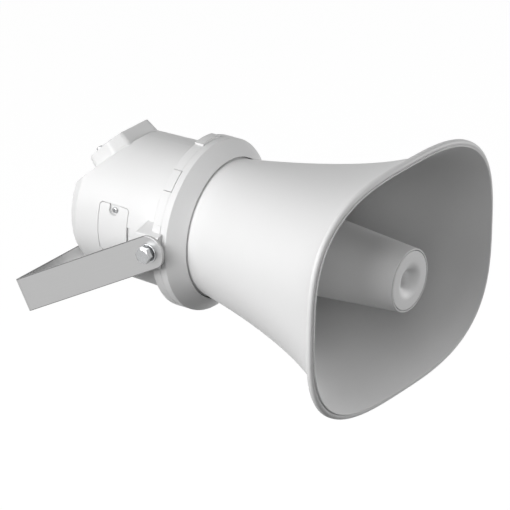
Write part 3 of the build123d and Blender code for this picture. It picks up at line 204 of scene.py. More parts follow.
# spring washers are hardened steel, coloured darker than the bolts as painted shade: a dark ring under each
# head
paintedShadeSpringFinish = bareMetal("springSteelPaintedShade", {
    "colour": "#5E5F60", "shade": "#4E4F50", "roughness": 0.25, "markMm": 2.0, "edgeMm": 0.3})
finishes = {
    # outdoor ABS, moulded: matt white with a broad soft sheen
    "abs_white": moulded("outdoorAbsWhite", outdoorAbs),
    # the same plastic in grey for what sits inside
    "abs_grey": moulded("innerAbsGrey", {
        "colour": "#9A9A99", "shade": "#929291", "roughness": 0.55, "ior": 1.53, "specular": 0.4,
        "flowMm": 40.0, "grainMm": 0.9, "grainStrength": 0.15, "grainDepthMm": 0.05, "edgeMm": 0.4}),
    # stainless strip, cold rolled and finely brushed: satin, a little streaky
    "bracket_steel": brushed("stainlessStrip", {
        "colour": "#B6B6B6", "shade": "#AEAEAE", "roughness": 0.36, "turn": -armSlope,
        # painted shade: the sheared edges are coloured darker than the strip
        "halfWidthMm": 15.0, "edgeMm": 0.8, "paintedShadeEdgeColour": "#747474",
        "lineMm": 0.3, "lineLengthMm": 40.0, "grainStrength": 0.06, "grainDepthMm": 0.01}),
    # stainless fasteners, cold formed and tumbled: bright, with soft marks
    "fastener_steel": bareMetal("stainlessFastener", {
        "colour": "#BDBEBF", "shade": "#ACADAE", "roughness": 0.13, "markMm": 2.0, "edgeMm": 0.3}),
    # moulded rubber of the seals: black and dull, with a skin that takes no highlight
    "rubber_black": moulded("sealRubber", {
        "colour": "#1C1C1C", "shade": "#171717", "roughness": 0.75, "ior": 1.52, "specular": 0.4,
        "flowMm": 20.0, "grainMm": 0.6, "grainStrength": 0.3, "grainDepthMm": 0.05, "edgeMm": 0.2}),
    # turned brass of the inserts: warm yellow with a soft shine
    "brass_insert": bareMetal("turnedBrass", {
        "colour": "#C79A4B", "shade": "#B58A3E", "roughness": 0.3, "markMm": 2.0, "edgeMm": 0.2}),
    # die-cast aluminium: dull grey skin
    "aluminium_cast": bareMetal("castAluminium", {
        "colour": "#B9BBBD", "shade": "#A9ABAD", "roughness": 0.45, "markMm": 3.0, "edgeMm": 0.4}),
    # zinc-plated iron of the magnet's plates: cool grey, between satin and bright
    "magnet_steel": bareMetal("platedIron", {
        "colour": "#A9ABAE", "shade": "#989A9D", "roughness": 0.35, "markMm": 4.0, "edgeMm": 0.4}),
    # sintered ferrite: almost black and rough to the eye
    "ferrite": moulded("sinteredFerrite", {
        "colour": "#2B2B2E", "shade": "#232326", "roughness": 0.7, "ior": 1.6, "specular": 0.5,
        "flowMm": 12.0, "grainMm": 0.5, "grainStrength": 0.4, "grainDepthMm": 0.05, "edgeMm": 0.3}),
    # moulded phenolic resin: brownish black with a half gloss
    "phenolic": moulded("blackPhenolic", {
        "colour": "#242222", "shade": "#1D1B1B", "roughness": 0.45, "ior": 1.6, "specular": 0.5,
        "flowMm": 15.0, "grainMm": 0.7, "grainStrength": 0.2, "grainDepthMm": 0.04, "edgeMm": 0.3}),
    # resin-dipped film of the diaphragm: amber and glossy
    "diaphragm_film": moulded("amberFilm", {
        "colour": "#B98B45", "shade": "#A97C3A", "roughness": 0.3, "ior": 1.6, "specular": 0.5,
        "flowMm": 10.0, "grainMm": 0.5, "grainStrength": 0.1, "grainDepthMm": 0.02, "edgeMm": 0.1}),
    # enamelled copper wire, wound: reddish, with marks as fine as its turns
    "copper_wire": bareMetal("enamelledCopper", {
        "colour": "#B4663A", "shade": "#9C5530", "roughness": 0.3, "markMm": 0.4, "edgeMm": 0.2}),
    # varnished core sheets: dark grey with fine layers
    "core_steel": bareMetal("laminatedSteel", {
        "colour": "#6E7074", "shade": "#5C5E62", "roughness": 0.5, "markMm": 0.5, "edgeMm": 0.2}),
    # glass-epoxy board under green solder mask: smooth and slightly glossy
    "board_laminate": moulded("greenLaminate", {
        "colour": "#2F6B45", "shade": "#285E3C", "roughness": 0.35, "ior": 1.55, "specular": 0.5,
        "flowMm": 8.0, "grainMm": 0.5, "grainStrength": 0.15, "grainDepthMm": 0.02, "edgeMm": 0.2}),
}
slotOf = {part["node"]: part["material_slot"] for part in frame["record"]["subparts"]}
for nodeName, node in frame["nodes"].items():
    node.data.materials.clear()
    node.data.materials.append(finishes[slotOf[nodeName]])
print("materials made:", len(finishes))


def sweptOutlineTree():
    # each row is a closed superellipse at its own distance, and the rows are joined into one skin
    tree = bpy.data.node_groups.new("sweptOutline", "GeometryNodeTree")
    for name, kind in (("Rows", "Geometry"), ("Segments", "Int"), ("Axis Y", "Float"), ("Axis Z", "Float"),
                       ("Weld Distance", "Float"), ("Material", "Material")):
        tree.interface.new_socket(name, in_out="INPUT", socket_type="NodeSocket" + kind)
    tree.interface.new_socket("Skin", in_out="OUTPUT", socket_type="NodeSocketGeometry")
    given = addNode(tree, "NodeGroupInput").outputs

    # a flat grid with one row of points for each outline: X says how far round it, Y says which row
    rowCount = addNode(tree, "GeometryNodeAttributeDomainSize", {0: given["Rows"]}, component="MESH")
    columns = addNode(tree, "ShaderNodeMath", {0: given["Segments"], 1: 1.0}, operation="ADD")
    grid = addNode(tree, "GeometryNodeMeshGrid", {
        "Size X": 1.0, "Size Y": 1.0, "Vertices X": columns.outputs[0],
        "Vertices Y": rowCount.outputs["Point Count"]})
    position = addNode(tree, "GeometryNodeInputPosition")
    spot = addNode(tree, "ShaderNodeSeparateXYZ", {0: position.outputs[0]})
    angle = addNode(tree, "ShaderNodeMath", {0: spot.outputs["X"], 1: 2 * math.pi}, operation="MULTIPLY")
    lastRow = addNode(tree, "ShaderNodeMath", {
        0: rowCount.outputs["Point Count"], 1: 1.0}, operation="SUBTRACT")
    along = addNode(tree, "ShaderNodeMath", {0: spot.outputs["Y"], 1: 0.5}, operation="ADD")
    scaled = addNode(tree, "ShaderNodeMath", {
        0: along.outputs[0], 1: lastRow.outputs[0]}, operation="MULTIPLY")
    rowIndex = addNode(tree, "ShaderNodeMath", {0: scaled.outputs[0]}, operation="ROUND")
    row = {}
    for name in ("forward", "halfWidth", "halfHeight", "power"):
        stored = addNode(tree, "GeometryNodeInputNamedAttribute", {"Name": name}, data_type="FLOAT")
        picked = addNode(tree, "GeometryNodeSampleIndex", {
            "Geometry": given["Rows"], "Value": stored.outputs["Attribute"], "Index": rowIndex.outputs[0]},
            data_type="FLOAT", domain="POINT")
        row[name] = picked.outputs["Value"]

    # how far the outline reaches in this direction, from its half width, half height and power
    across = addNode(tree, "ShaderNodeMath", {0: angle.outputs[0]}, operation="COSINE")
    upward = addNode(tree, "ShaderNodeMath", {0: angle.outputs[0]}, operation="SINE")
    sides = []
    for direction, half in ((across, "halfWidth"), (upward, "halfHeight")):
        size = addNode(tree, "ShaderNodeMath", {0: direction.outputs[0]}, operation="ABSOLUTE")
        share = addNode(tree, "ShaderNodeMath", {0: size.outputs[0], 1: row[half]}, operation="DIVIDE")
        side = addNode(tree, "ShaderNodeMath", {0: share.outputs[0], 1: row["power"]}, operation="POWER")
        sides.append(side.outputs[0])
    total = addNode(tree, "ShaderNodeMath", {0: sides[0], 1: sides[1]}, operation="ADD")
    inverse = addNode(tree, "ShaderNodeMath", {0: -1.0, 1: row["power"]}, operation="DIVIDE")
    reach = addNode(tree, "ShaderNodeMath", {0: total.outputs[0], 1: inverse.outputs[0]}, operation="POWER")

    # the grid's points move to the outline's places, and its seam and poles are welded
    x = addNode(tree, "ShaderNodeMath", {0: reach.outputs[0], 1: across.outputs[0]}, operation="MULTIPLY")
    y = addNode(tree, "ShaderNodeMath", {0: given["Axis Y"], 1: row["forward"]}, operation="SUBTRACT")
    z = addNode(tree, "ShaderNodeMath", {
        0: reach.outputs[0], 1: upward.outputs[0], 2: given["Axis Z"]}, operation="MULTIPLY_ADD")
    target = addNode(tree, "ShaderNodeCombineXYZ", {
        "X": x.outputs[0], "Y": y.outputs[0], "Z": z.outputs[0]})
    moved = addNode(tree, "GeometryNodeSetPosition", {
        "Geometry": grid.outputs["Mesh"], "Position": target.outputs[0]})
    welded = addNode(tree, "GeometryNodeMergeByDistance", {
        "Geometry": moved.outputs[0], "Distance": given["Weld Distance"]})
    real = addNode(tree, "GeometryNodeRealizeInstances", {0: welded.outputs[0]})
    coated = addNode(tree, "GeometryNodeSetMaterial", {
        "Geometry": real.outputs[0], "Material": given["Material"]})
    addNode(tree, "NodeGroupOutput", {0: coated.outputs[0]})
    return tree


def partOnPointsTree():
    # one part set on each point, turned as the point's "turn" attribute says
    tree = bpy.data.node_groups.new("partOnPoints", "GeometryNodeTree")
    for name, kind in (("Places", "Geometry"), ("Part", "Object"), ("Part Size", "Float"),
                       ("Material", "Material")):
        tree.interface.new_socket(name, in_out="INPUT", socket_type="NodeSocket" + kind)
    tree.interface.new_socket("Parts", in_out="OUTPUT", socket_type="NodeSocketGeometry")
    given = addNode(tree, "NodeGroupInput").outputs
    part = addNode(tree, "GeometryNodeObjectInfo", {"Object": given["Part"]}, transform_space="ORIGINAL")
    turn = addNode(tree, "GeometryNodeInputNamedAttribute", {"Name": "turn"}, data_type="FLOAT_VECTOR")
    rotation = addNode(tree, "FunctionNodeEulerToRotation", {0: turn.outputs["Attribute"]})
    size = addNode(tree, "ShaderNodeCombineXYZ", {
        "X": given["Part Size"], "Y": given["Part Size"], "Z": given["Part Size"]})
    placed = addNode(tree, "GeometryNodeInstanceOnPoints", {
        "Points": given["Places"], "Instance": part.outputs["Geometry"], "Rotation": rotation.outputs[0],
        "Scale": size.outputs[0]})
    real = addNode(tree, "GeometryNodeRealizeInstances", {0: placed.outputs[0]})
    coated = addNode(tree, "GeometryNodeSetMaterial", {
        "Geometry": real.outputs[0], "Material": given["Material"]})
    addNode(tree, "NodeGroupOutput", {0: coated.outputs[0]})
    return tree


def setInputs(modifier, values):
    for item in modifier.node_group.interface.items_tree:
        if item.in_out == "INPUT" and item.name in values:
            modifier[item.identifier] = values[item.name]


# shared by all meshes, in millimetres and degrees
meshing = {
    "rowWeld": 0.03, "partWeld": 0.005, "stripWeld": 0.002,  # points nearer than this become one
    "sweptSharp": 50.0, "partSharp": 35.0, "stripSharp": 40.0,  # edges flatter than this look smooth
    "axisRadius": 0.01,  # a row on the axis keeps this much, which the weld then closes
    "cornerSteps": 4,
}


def bakeModifiers(piece):
    # what the modifiers give becomes the piece's own mesh
    shape = bpy.data.meshes.new_from_object(piece.evaluated_get(bpy.context.evaluated_depsgraph_get()))
    piece.modifiers.clear()
    piece.data = shape
    return shape


def plainMesh(piece, sharpAngle, turnOutwards=True):
    # the modifiers' result is kept, its faces turn outwards, and all but its sharp edges are smooth
    shape = bakeModifiers(piece)
    work = bmesh.new()
    work.from_mesh(shape)
    if turnOutwards:
        bmesh.ops.recalc_face_normals(work, faces=work.faces)
    for polygon in work.faces:
        polygon.smooth = True
    for edge in work.edges:
        edge.smooth = len(edge.link_faces) == 2 and edge.calc_face_angle(0) < math.radians(sharpAngle)
    work.to_mesh(shape)
    work.free()
    weight = piece.modifiers.new("faceWeight", "WEIGHTED_NORMAL")
    weight.keep_sharp = True
    bakeModifiers(piece)
    return piece


def linkPiece(name, shape):
    piece = bpy.data.objects.new(name, shape)
    bpy.context.scene.collection.objects.link(piece)
    return piece


def settle(piece, body, slotName, *nodes):
    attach(piece, body)
    if nodes:
        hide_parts(*nodes)


sweepTree = sweptOutlineTree()
pointsTree = partOnPointsTree()


def sweepRows(name, rows, material, segments):
    # rows: (forward, half width, half height, power) in millimetres, from the tilt axis
    shape = bpy.data.meshes.new(name)
    shape.from_pydata([(0, 0, index * mm) for index in range(len(rows))], [], [])
    least = meshing["axisRadius"]
    rows = [(forward * mm, max(width, least) * mm, max(height, least) * mm, power)
            for forward, width, height, power in rows]
    for label, values in zip(("forward", "halfWidth", "halfHeight", "power"), zip(*rows)):
        shape.attributes.new(label, "FLOAT", "POINT").data.foreach_set("value", values)
    piece = linkPiece(name, shape)
    sweep = piece.modifiers.new("sweep", "NODES")
    sweep.node_group = sweepTree
    setInputs(sweep, {
        "Segments": segments, "Axis Y": pivotY * mm, "Axis Z": pivotZ * mm,
        "Weld Distance": meshing["rowWeld"] * mm, "Material": material})
    return plainMesh(piece, meshing["sweptSharp"])


def roundRows(profile):
    # a profile of (forward, radius) turned about the horn's axis
    return [(forward, radius, radius, 2.0) for forward, radius in profile]


def roundedProfile(corners):
    # corners: (forward, radius, rounding), a closed profile whose corners are rounded off
    points = []
    steps = meshing["cornerSteps"]
    for index, (forward, radius, rounding) in enumerate(corners):
        here = Vector((forward, radius))
        before = Vector(corners[index - 1][:2]) - here
        after = Vector(corners[(index + 1) % len(corners)][:2]) - here
        if rounding <= 0:
            points.append(tuple(here))
            continue
        half = before.angle(after) / 2
        # a rounding never takes up more than half of a side
        back = min(rounding / math.tan(half), before.length * 0.49, after.length * 0.49)
        start = here + before.normalized() * back
        end = here + after.normalized() * back
        for step in range(steps + 1):
            t = step / steps
            points.append(tuple(start * (1 - t) ** 2 + here * 2 * t * (1 - t) + end * t * t))
    points.append(points[0])
    return points


def partOnPoints(name, part, places, material):
    # places: (point, turn about X, Y and Z); the single part isn't needed after that, and is removed
    shape = bpy.data.meshes.new(name)
    shape.from_pydata([tuple(point) for point, turn in places], [], [])
    turns = [angle for point, turn in places for angle in turn]
    shape.attributes.new("turn", "FLOAT_VECTOR", "POINT").data.foreach_set("vector", turns)
    piece = linkPiece(name, shape)
    layout = piece.modifiers.new("layout", "NODES")
    layout.node_group = pointsTree
    setInputs(layout, {"Part": part, "Part Size": 1.0, "Material": material})
    plainMesh(piece, meshing["partSharp"], turnOutwards=False)
    bpy.data.objects.remove(part)
    return piece


def ringRows(rows, segments, radiusAt=None):
    # a turned mesh about +Z with a flat face at each end; rows: (height, radius) in millimetres
    work = bmesh.new()
    rings = []
    for height, radius in rows:
        ring = []
        for index in range(segments):
            angle = 2 * math.pi * index / segments
            reach, level = radiusAt(angle, radius, height) if radiusAt else (radius, height)
            place = Vector((reach * math.cos(angle), reach * math.sin(angle), level))
            ring.append(work.verts.new(place * mm))
        rings.append(ring)
    for lower, upper in zip(rings, rings[1:]):
        for index in range(segments):
            following = (index + 1) % segments
            work.faces.new((lower[index], lower[following], upper[following], upper[index]))
    work.faces.new(list(reversed(rings[0])))
    work.faces.new(rings[-1])
    return work


def partFromBmesh(name, work):
    bmesh.ops.remove_doubles(work, verts=work.verts, dist=meshing["partWeld"] * mm)
    bmesh.ops.recalc_face_normals(work, faces=work.faces)
    shape = bpy.data.meshes.new(name)
    work.to_mesh(shape)
    work.free()
    return linkPiece(name, shape)


# millimetres, measured forward from the tilt axis; a squareness of 2 is round, and more is squarer
bellSizes = {
    "mouthWidth": 280.0, "mouthHeight": 212.8, "squareness": 3.0, "mouthForward": 205.5,
    "throatForward": 24.5, "throatRadius": 61.0, "wall": 2.8,
    "wallSlant": 1.35,  # the flared wall, cut square to the axis, is this much thicker at the mouth
    "widthStraight": 0.77, "widthRate": 8.0, "heightStraight": 0.49, "heightRate": 4.4,
    "squarenessGrowth": 1.9, "flareInset": 1.4,
    "rimDepth": 5.5, "rimBackRound": 0.6, "rimBackRun": 5.0,
    "beadDepth": 3.0, "beadWidth": 2.8, "beadTurn": 150.0, "rimSteps": 12,
    "grooveDepth": 1.0, "grooveWidth": 1.5,
    "lipStand": 0.8, "lipRound": 0.3, "lipSlope": 0.1, "lipRun": 8.0, "lipFall": 6.0,
    "neckInset": 0.4, "neckBead": 0.9, "neckBeadForward": 23.0, "neckBeadLength": 2.0,
    "flangeRear": 5.5, "flangeFront": 9.5, "flangeRadius": 71.6,
    "rows": 48, "rowCrowding": 1.35, "innerShare": 0.992, "segments": 224,
}


def flareShare(share, rate):
    # an exponential curve from 0 at the throat to 1 at the mouth
    return (math.exp(rate * share) - 1) / (math.exp(rate) - 1)


def bellRow(sizes, share, inset):
    # width and height each grow partly straight and partly as an exponential flare, from throat to mouth
    spread = []
    for side in ("width", "height"):
        straight = sizes[side + "Straight"]
        growth = straight * share + (1 - straight) * flareShare(share, sizes[side + "Rate"])
        mouth = sizes["mouth" + side.capitalize()] / 2 - sizes["flareInset"]
        spread.append(sizes["throatRadius"] + (mouth - sizes["throatRadius"]) * growth - inset)
    forward = sizes["throatForward"] + share * (sizes["mouthForward"] - sizes["throatForward"])
    return forward, *spread, 2 + (sizes["squareness"] - 2) * share ** sizes["squarenessGrowth"]


def rimProfile(sizes):
    # (forward, offset inwards from the mouth's size): a round at the back, a bead, a groove and a proud lip
    front = sizes["mouthForward"]
    rimBack = front - sizes["rimDepth"]
    back = roundedProfile([
        (rimBack, sizes["rimBackRun"], 0.0), (rimBack, 0.0, sizes["rimBackRound"]),
        (front, 0.0, 0.0)])[1:-2]
    bead = []
    for step in range(sizes["rimSteps"] + 1):  # rolls over the front and down into the groove
        turn = math.radians(sizes["beadTurn"] * step / sizes["rimSteps"])
        outside = turn < math.pi / 2
        drop = sizes["beadDepth"] if outside else sizes["grooveDepth"]
        width = sizes["beadWidth"] if outside else sizes["grooveWidth"]
        bead.append((front - sizes["lipStand"] - drop * (1 - math.sin(turn)),
                     sizes["beadWidth"] - width * math.cos(turn)))
    lip = sizes["flareInset"] + sizes["wall"] * sizes["wallSlant"]
    inner = roundedProfile([
        (*bead[-1], 0.0), (front, bead[-1][1] + sizes["lipSlope"], sizes["lipRound"]),
        (front, lip, sizes["lipRound"]), (front - sizes["lipRun"], lip + sizes["lipFall"], 0.0)])[1:-2]
    return back + bead + inner


def hornBell(sizes):
    neck = sizes["throatRadius"] - sizes["wall"]
    neckOuter = sizes["throatRadius"] - sizes["neckInset"]
    neckBead = sizes["throatRadius"] + sizes["neckBead"]
    last = sizes["rows"] - 1
    shares = [1 - (1 - index / last) ** sizes["rowCrowding"] for index in range(last + 1)]
    rows = roundRows([
        (sizes["flangeRear"], neck), (sizes["flangeRear"], sizes["flangeRadius"]),
        (sizes["flangeFront"], sizes["flangeRadius"]), (sizes["flangeFront"], neckOuter),
        (sizes["neckBeadForward"] - sizes["neckBeadLength"], neckOuter),
        (sizes["neckBeadForward"], neckBead),  # closes the gap to the collar
    ])
    length = sizes["mouthForward"] - sizes["throatForward"]
    lastOuter = (length - sizes["rimDepth"]) / length
    rows += [bellRow(sizes, share * lastOuter, 0.0) for share in shares]
    for forward, offset in rimProfile(sizes):
        rows.append((forward, sizes["mouthWidth"] / 2 - offset, sizes["mouthHeight"] / 2 - offset,
                     sizes["squareness"]))
    for share in reversed(shares):  # back along the inside, from just behind the lip
        share *= sizes["innerShare"]
        slant = 1 + (sizes["wallSlant"] - 1) * share
        rows.append(bellRow(sizes, share, sizes["wall"] * slant))
    rows += roundRows([(sizes["flangeRear"], neck)])
    piece = sweepRows("hornBell", rows, finishes["abs_white"], sizes["segments"])
    settle(piece, "horn", "abs_white", "horn_bell")


hornBell(bellSizes)
print("bell made")

# millimetres, measured forward from the tilt axis
reflectorSizes = {
    "front": 209.7, "frontRadius": 27.8, "rear": 84.0, "taper": 0.08, "wall": 1.8, "plate": 2.2,
    "rearRound": 0.7, "frontRound": 0.8, "seatRound": 0.3,
    "capLip": 1.4, "capGap": 0.7, "capSkirt": 6.0, "capEdge": 0.5, "capEdgeMiddle": 0.15,
    "funnelMouth": 17.5, "funnelThroat": 7.0, "funnelDepth": 10.5, "funnelTip": 24.0, "funnelWall": 1.6,
    "funnelSteps": 14, "segments": 144,
}


def capSeat(sizes):
    # the radius of the cap's seat in the cone's front, and where its floor lies
    return sizes["frontRadius"] - sizes["capLip"], sizes["front"] - sizes["plate"]


def reflectorCone(sizes):
    # the tapered tube in the mouth, with a seat for the cap at its front
    capRadius, seat = capSeat(sizes)
    front, rear, wall = sizes["front"], sizes["rear"], sizes["wall"]
    ledge = capRadius - wall
    rearRadius = sizes["frontRadius"] + sizes["taper"] * (front - rear)
    skirtRadius = sizes["frontRadius"] + sizes["taper"] * (sizes["plate"] + sizes["capSkirt"]) - wall
    profile = roundedProfile([
        (rear, rearRadius, sizes["rearRound"]), (front, sizes["frontRadius"], sizes["frontRound"]),
        (front, capRadius, sizes["seatRound"]), (seat, capRadius, 0.0), (seat, ledge, 0.0),
        (seat - wall, ledge, 0.0), (seat - sizes["capSkirt"], skirtRadius, 0.0),
        (rear, rearRadius - wall, sizes["rearRound"])])
    cone = sweepRows("reflectorCone", roundRows(profile), finishes["abs_white"], sizes["segments"])
    settle(cone, "horn", "abs_white", "reflector_cone")


def reflectorCap(sizes):
    # a flat plate with a trumpet-shaped funnel in its middle, closed at its tip
    capRadius, seat = capSeat(sizes)
    front, depth = sizes["front"], sizes["funnelDepth"]
    edge, slope, middle = capRadius - sizes["capGap"], sizes["capEdge"], sizes["capEdgeMiddle"]
    profile = [(seat, edge), (front - slope, edge), (front - middle, edge - middle), (front, edge - slope)]
    mouth, throat, wall = sizes["funnelMouth"], sizes["funnelThroat"], sizes["funnelWall"]
    turns = [math.radians(90 * step / sizes["funnelSteps"]) for step in range(sizes["funnelSteps"] + 1)]
    for turn in turns:  # flat at the plate, nearly straight at the throat
        profile.append((front - depth * (1 - math.cos(turn)), mouth - (mouth - throat) * math.sin(turn)))
    tip = front - sizes["funnelTip"]
    profile += [(tip + wall, throat / 2), (tip + wall, 0.0), (tip, 0.0), (tip, throat / 2 + wall / 2)]
    for turn in reversed(turns):  # the funnel's back, a wall's thickness behind
        profile.append((seat - (depth - sizes["plate"]) * (1 - math.cos(turn)),
                        mouth + wall - (mouth - throat) * math.sin(turn)))
    profile.append((seat, edge))
    # the cap takes the whiter copy of the plastic, as painted light
    cap = sweepRows("reflectorCap", roundRows(profile), paintedLightCapFinish, sizes["segments"])
    settle(cap, "horn", "abs_white", "reflector_cap")


reflectorCone(reflectorSizes)
reflectorCap(reflectorSizes)
print("reflector made")

bracketSizes = {
    "width": 30.0, "thickness": 3.0, "bendInside": 3.0, "armInside": 81.2, "edgeRound": 0.35,
    "baseHole": 10.5, "sideHole": 6.5, "sideHoleSpacing": 90.0, "pivotHole": 8.16,
    "bendSteps": 12, "edgeSteps": 2, "endSteps": 40, "holeSteps": 48,
}


def flatStrip(sizes, pivot):
    # the strip before it is bent: round ends, five holes and rounded edges, its middle at the origin
    strip = bpy.data.curves.new("flatStrip", "CURVE")
    strip.dimensions = "2D"
    strip.fill_mode = "BOTH"
    strip.extrude = (sizes["thickness"] / 2 - sizes["edgeRound"]) * mm
    strip.bevel_depth = sizes["edgeRound"] * mm
    strip.bevel_resolution = sizes["edgeSteps"]
    radius = sizes["width"] / 2 - sizes["edgeRound"]
    steps = sizes["endSteps"]
    turns = [math.radians(-90 + 180 * step / steps) for step in range(steps + 1)]
    end = [(pivot + radius * math.cos(turn), radius * math.sin(turn)) for turn in turns]
    loops = [end + [(-x, -y) for x, y in end]]
    turns = [2 * math.pi * step / sizes["holeSteps"] for step in range(sizes["holeSteps"])]
    sideHole = sizes["sideHoleSpacing"] / 2
    for centre, diameter in ((0.0, sizes["baseHole"]), (-sideHole, sizes["sideHole"]),
                             (sideHole, sizes["sideHole"]), (-pivot, sizes["pivotHole"]),
                             (pivot, sizes["pivotHole"])):
        hole = diameter / 2 + sizes["edgeRound"]
        loops.append([(centre + hole * math.cos(turn), hole * math.sin(turn)) for turn in turns])
    for loop in loops:
        spline = strip.splines.new("POLY")
        spline.points.add(len(loop) - 1)
        for point, (x, y) in zip(spline.points, loop):
            point.co = (x * mm, y * mm, 0.0, 1.0)
        spline.use_cyclic_u = True
    holder = linkPiece("flatStrip", strip)
    shape = bpy.data.meshes.new_from_object(holder.evaluated_get(bpy.context.evaluated_depsgraph_get()))
    bpy.data.objects.remove(holder)
    return shape


def mountingBracket(sizes):
    # the flat strip with its holes is cut out first, then bent at its two bends
    thick = sizes["thickness"]
    middleRadius = sizes["bendInside"] + thick / 2
    outerRadius = sizes["bendInside"] + thick
    halfBase = sizes["armInside"] + thick - outerRadius
    bendLength = middleRadius * math.pi / 2
    shape = flatStrip(sizes, halfBase + bendLength + stance["armReach"] - outerRadius)
    work = bmesh.new()
    work.from_mesh(shape)
    bmesh.ops.remove_doubles(work, verts=work.verts, dist=meshing["stripWeld"] * mm)
    for side in (-1, 1):  # cuts across the strip where it will bend
        for step in range(sizes["bendSteps"] + 1):
            cut = side * (halfBase + bendLength * step / sizes["bendSteps"])
            bmesh.ops.bisect_plane(
                work, geom=work.verts[:] + work.edges[:] + work.faces[:], dist=1e-7,
                plane_co=(cut * mm, 0, 0), plane_no=(1, 0, 0))
    alongArm = Vector((0, -math.cos(armSlope), math.sin(armSlope)))
    acrossStrip = Vector((0, math.sin(armSlope), math.cos(armSlope)))
    for vertex in work.verts:
        run, up, outward = (value / mm for value in vertex.co)
        side = 1 if run > 0 else -1
        past = abs(run) - halfBase
        if past <= 0:  # the base
            x, along = run, thick / 2 - outward
        elif past <= bendLength:
            turn = past / middleRadius
            x = side * (halfBase + (middleRadius + outward) * math.sin(turn))
            along = outerRadius - (middleRadius + outward) * math.cos(turn)
        else:  # an arm
            x = side * (halfBase + middleRadius + outward)
            along = outerRadius + past - bendLength
        vertex.co = (Vector((x, 0, 0)) + alongArm * along + acrossStrip * up) * mm
    bmesh.ops.recalc_face_normals(work, faces=work.faces)
    work.to_mesh(shape)
    work.free()
    piece = linkPiece("mountingBracket", shape)
    shape.materials.clear()
    shape.materials.append(finishes["bracket_steel"])
    plainMesh(piece, meshing["stripSharp"])
    settle(piece, "bracket", "bracket_steel", "mounting_bracket")


mountingBracket(bracketSizes)
print("bracket bent")

boltSizes = {
    "flats": 13.0, "headHeight": 5.4, "faceRadius": 5.79, "faceSlope": 1.732, "headAt": 87.85,
    "dishDepth": 0.12, "dishSlope": 0.5, "dishFlat": 2.0,  # the shallow dish in the head's face
    "shank": 8.0, "shankLength": 15.0, "shankChamfer": 0.5,
    "plain_washers": {"outer": 17.0, "thick": 1.6, "at": 84.25, "split": 0.0},
    "spring_washers": {"outer": 14.2, "thick": 2.0, "at": 85.85, "split": 1.4},
    "bore": 8.4, "boreChamfer": 0.2, "washerChamfer": 0.3, "segments": 96,
}


def bothSides(distance):
    # a place on the tilt axis on each side of the horn, turned to look outwards
    return [(hornPoint(side * distance, 0, 0), (0.0, side * math.pi / 2, 0.0)) for side in (-1, 1)]


def pivotBolts(sizes):
    def hexReach(angle, radius, height):
        # flats face 0, 60 ... degrees; a cone cuts the corners of the head's face
        if radius < sizes["flats"] / 2:
            return radius, height
        reach = sizes["flats"] / 2 / math.cos((angle + math.pi / 6) % (math.pi / 3) - math.pi / 6)
        if height > 0:
            height -= (reach - sizes["faceRadius"]) / sizes["faceSlope"]
        return reach, height

    head, face, flats = sizes["headHeight"], sizes["faceRadius"], sizes["flats"]
    shank, tip, chamfer = sizes["shank"] / 2, -sizes["shankLength"], sizes["shankChamfer"]
    dish, floor = face - sizes["dishSlope"], head - sizes["dishDepth"]
    bolt = partFromBmesh("bolt", ringRows([
        (tip, shank - chamfer), (tip + chamfer, shank), (0.0, shank), (0.0, flats), (head, flats),
        (head, face), (floor, dish), (floor, dish - sizes["dishFlat"])], sizes["segments"], hexReach))
    bolts = partOnPoints("pivotBolts", bolt, bothSides(sizes["headAt"]), finishes["fastener_steel"])
    settle(bolts, "horn", "fastener_steel", "pivot_bolts")


def washerPair(name, node, sizes, finish):
    # a ring with chamfered edges under each bolt's head; a spring washer is cut through on one side
    outer, thick, split = sizes[node]["outer"] / 2, sizes[node]["thick"], sizes[node]["split"]
    bore, inside, outside = sizes["bore"] / 2, sizes["boreChamfer"], sizes["washerChamfer"]
    ring = ringRows([
        (thick, bore + inside), (thick - inside, bore), (inside, bore), (0.0, bore + inside),
        (0.0, outer - outside), (outside, outer), (thick - outside, outer), (thick, outer - outside),
        (thick, bore + inside)], sizes["segments"])
    for cap in [polygon for polygon in ring.faces if len(polygon.verts) > 4]:
        ring.faces.remove(cap)
    if split:
        middles = [(polygon, polygon.calc_center_median()) for polygon in ring.faces]
        gap = [polygon for polygon, middle in middles if abs(middle.x) < split / 2 * mm and middle.y > 0]
        bmesh.ops.delete(ring, geom=gap, context="FACES")
        bmesh.ops.remove_doubles(ring, verts=ring.verts, dist=meshing["partWeld"] * mm)
        bmesh.ops.holes_fill(ring, edges=[edge for edge in ring.edges if edge.is_boundary], sides=0)
    washers = partOnPoints(name, partFromBmesh("washer", ring), bothSides(sizes[node]["at"]), finish)
    settle(washers, "horn", "fastener_steel", node)


pivotBolts(boltSizes)
washerPair("plainWashers", "plain_washers", boltSizes, finishes["fastener_steel"])
# the spring washers take the darker steel, as painted shade
washerPair("springWashers", "spring_washers", boltSizes, paintedShadeSpringFinish)
print("pivot bolts and washers set")

screwSizes = {
    "lid": {"headRadius": 3.2, "headHeight": 2.4, "shank": 4.0, "length": 20.0},
    "cover": {"headRadius": 2.8, "headHeight": 1.8, "shank": 3.0, "length": 7.0},
    "dome": ((0.45, 1.0), (0.72, 0.93), (0.9, 0.76), (0.98, 0.5), (1.0, 0.2)),  # height, radius
    "tipInset": 0.5, "tipLength": 0.6,
    "crossLength": 3.4, "crossWidth": 0.8, "crossDepth": 1.2,
    "crossFloor": (0.55, 0.7), "crossBrim": 1.1, "crossClear": 0.3,  # the recess is smaller at its floor
    "lidScrewX": 23.5, "lidScrewDown": 3.5, "lidTop": 103.8,
    "coverScrew": (-59.6, -52.5, 17.6),  # across, forward and up from the tilt axis
    "segments": 48,
}


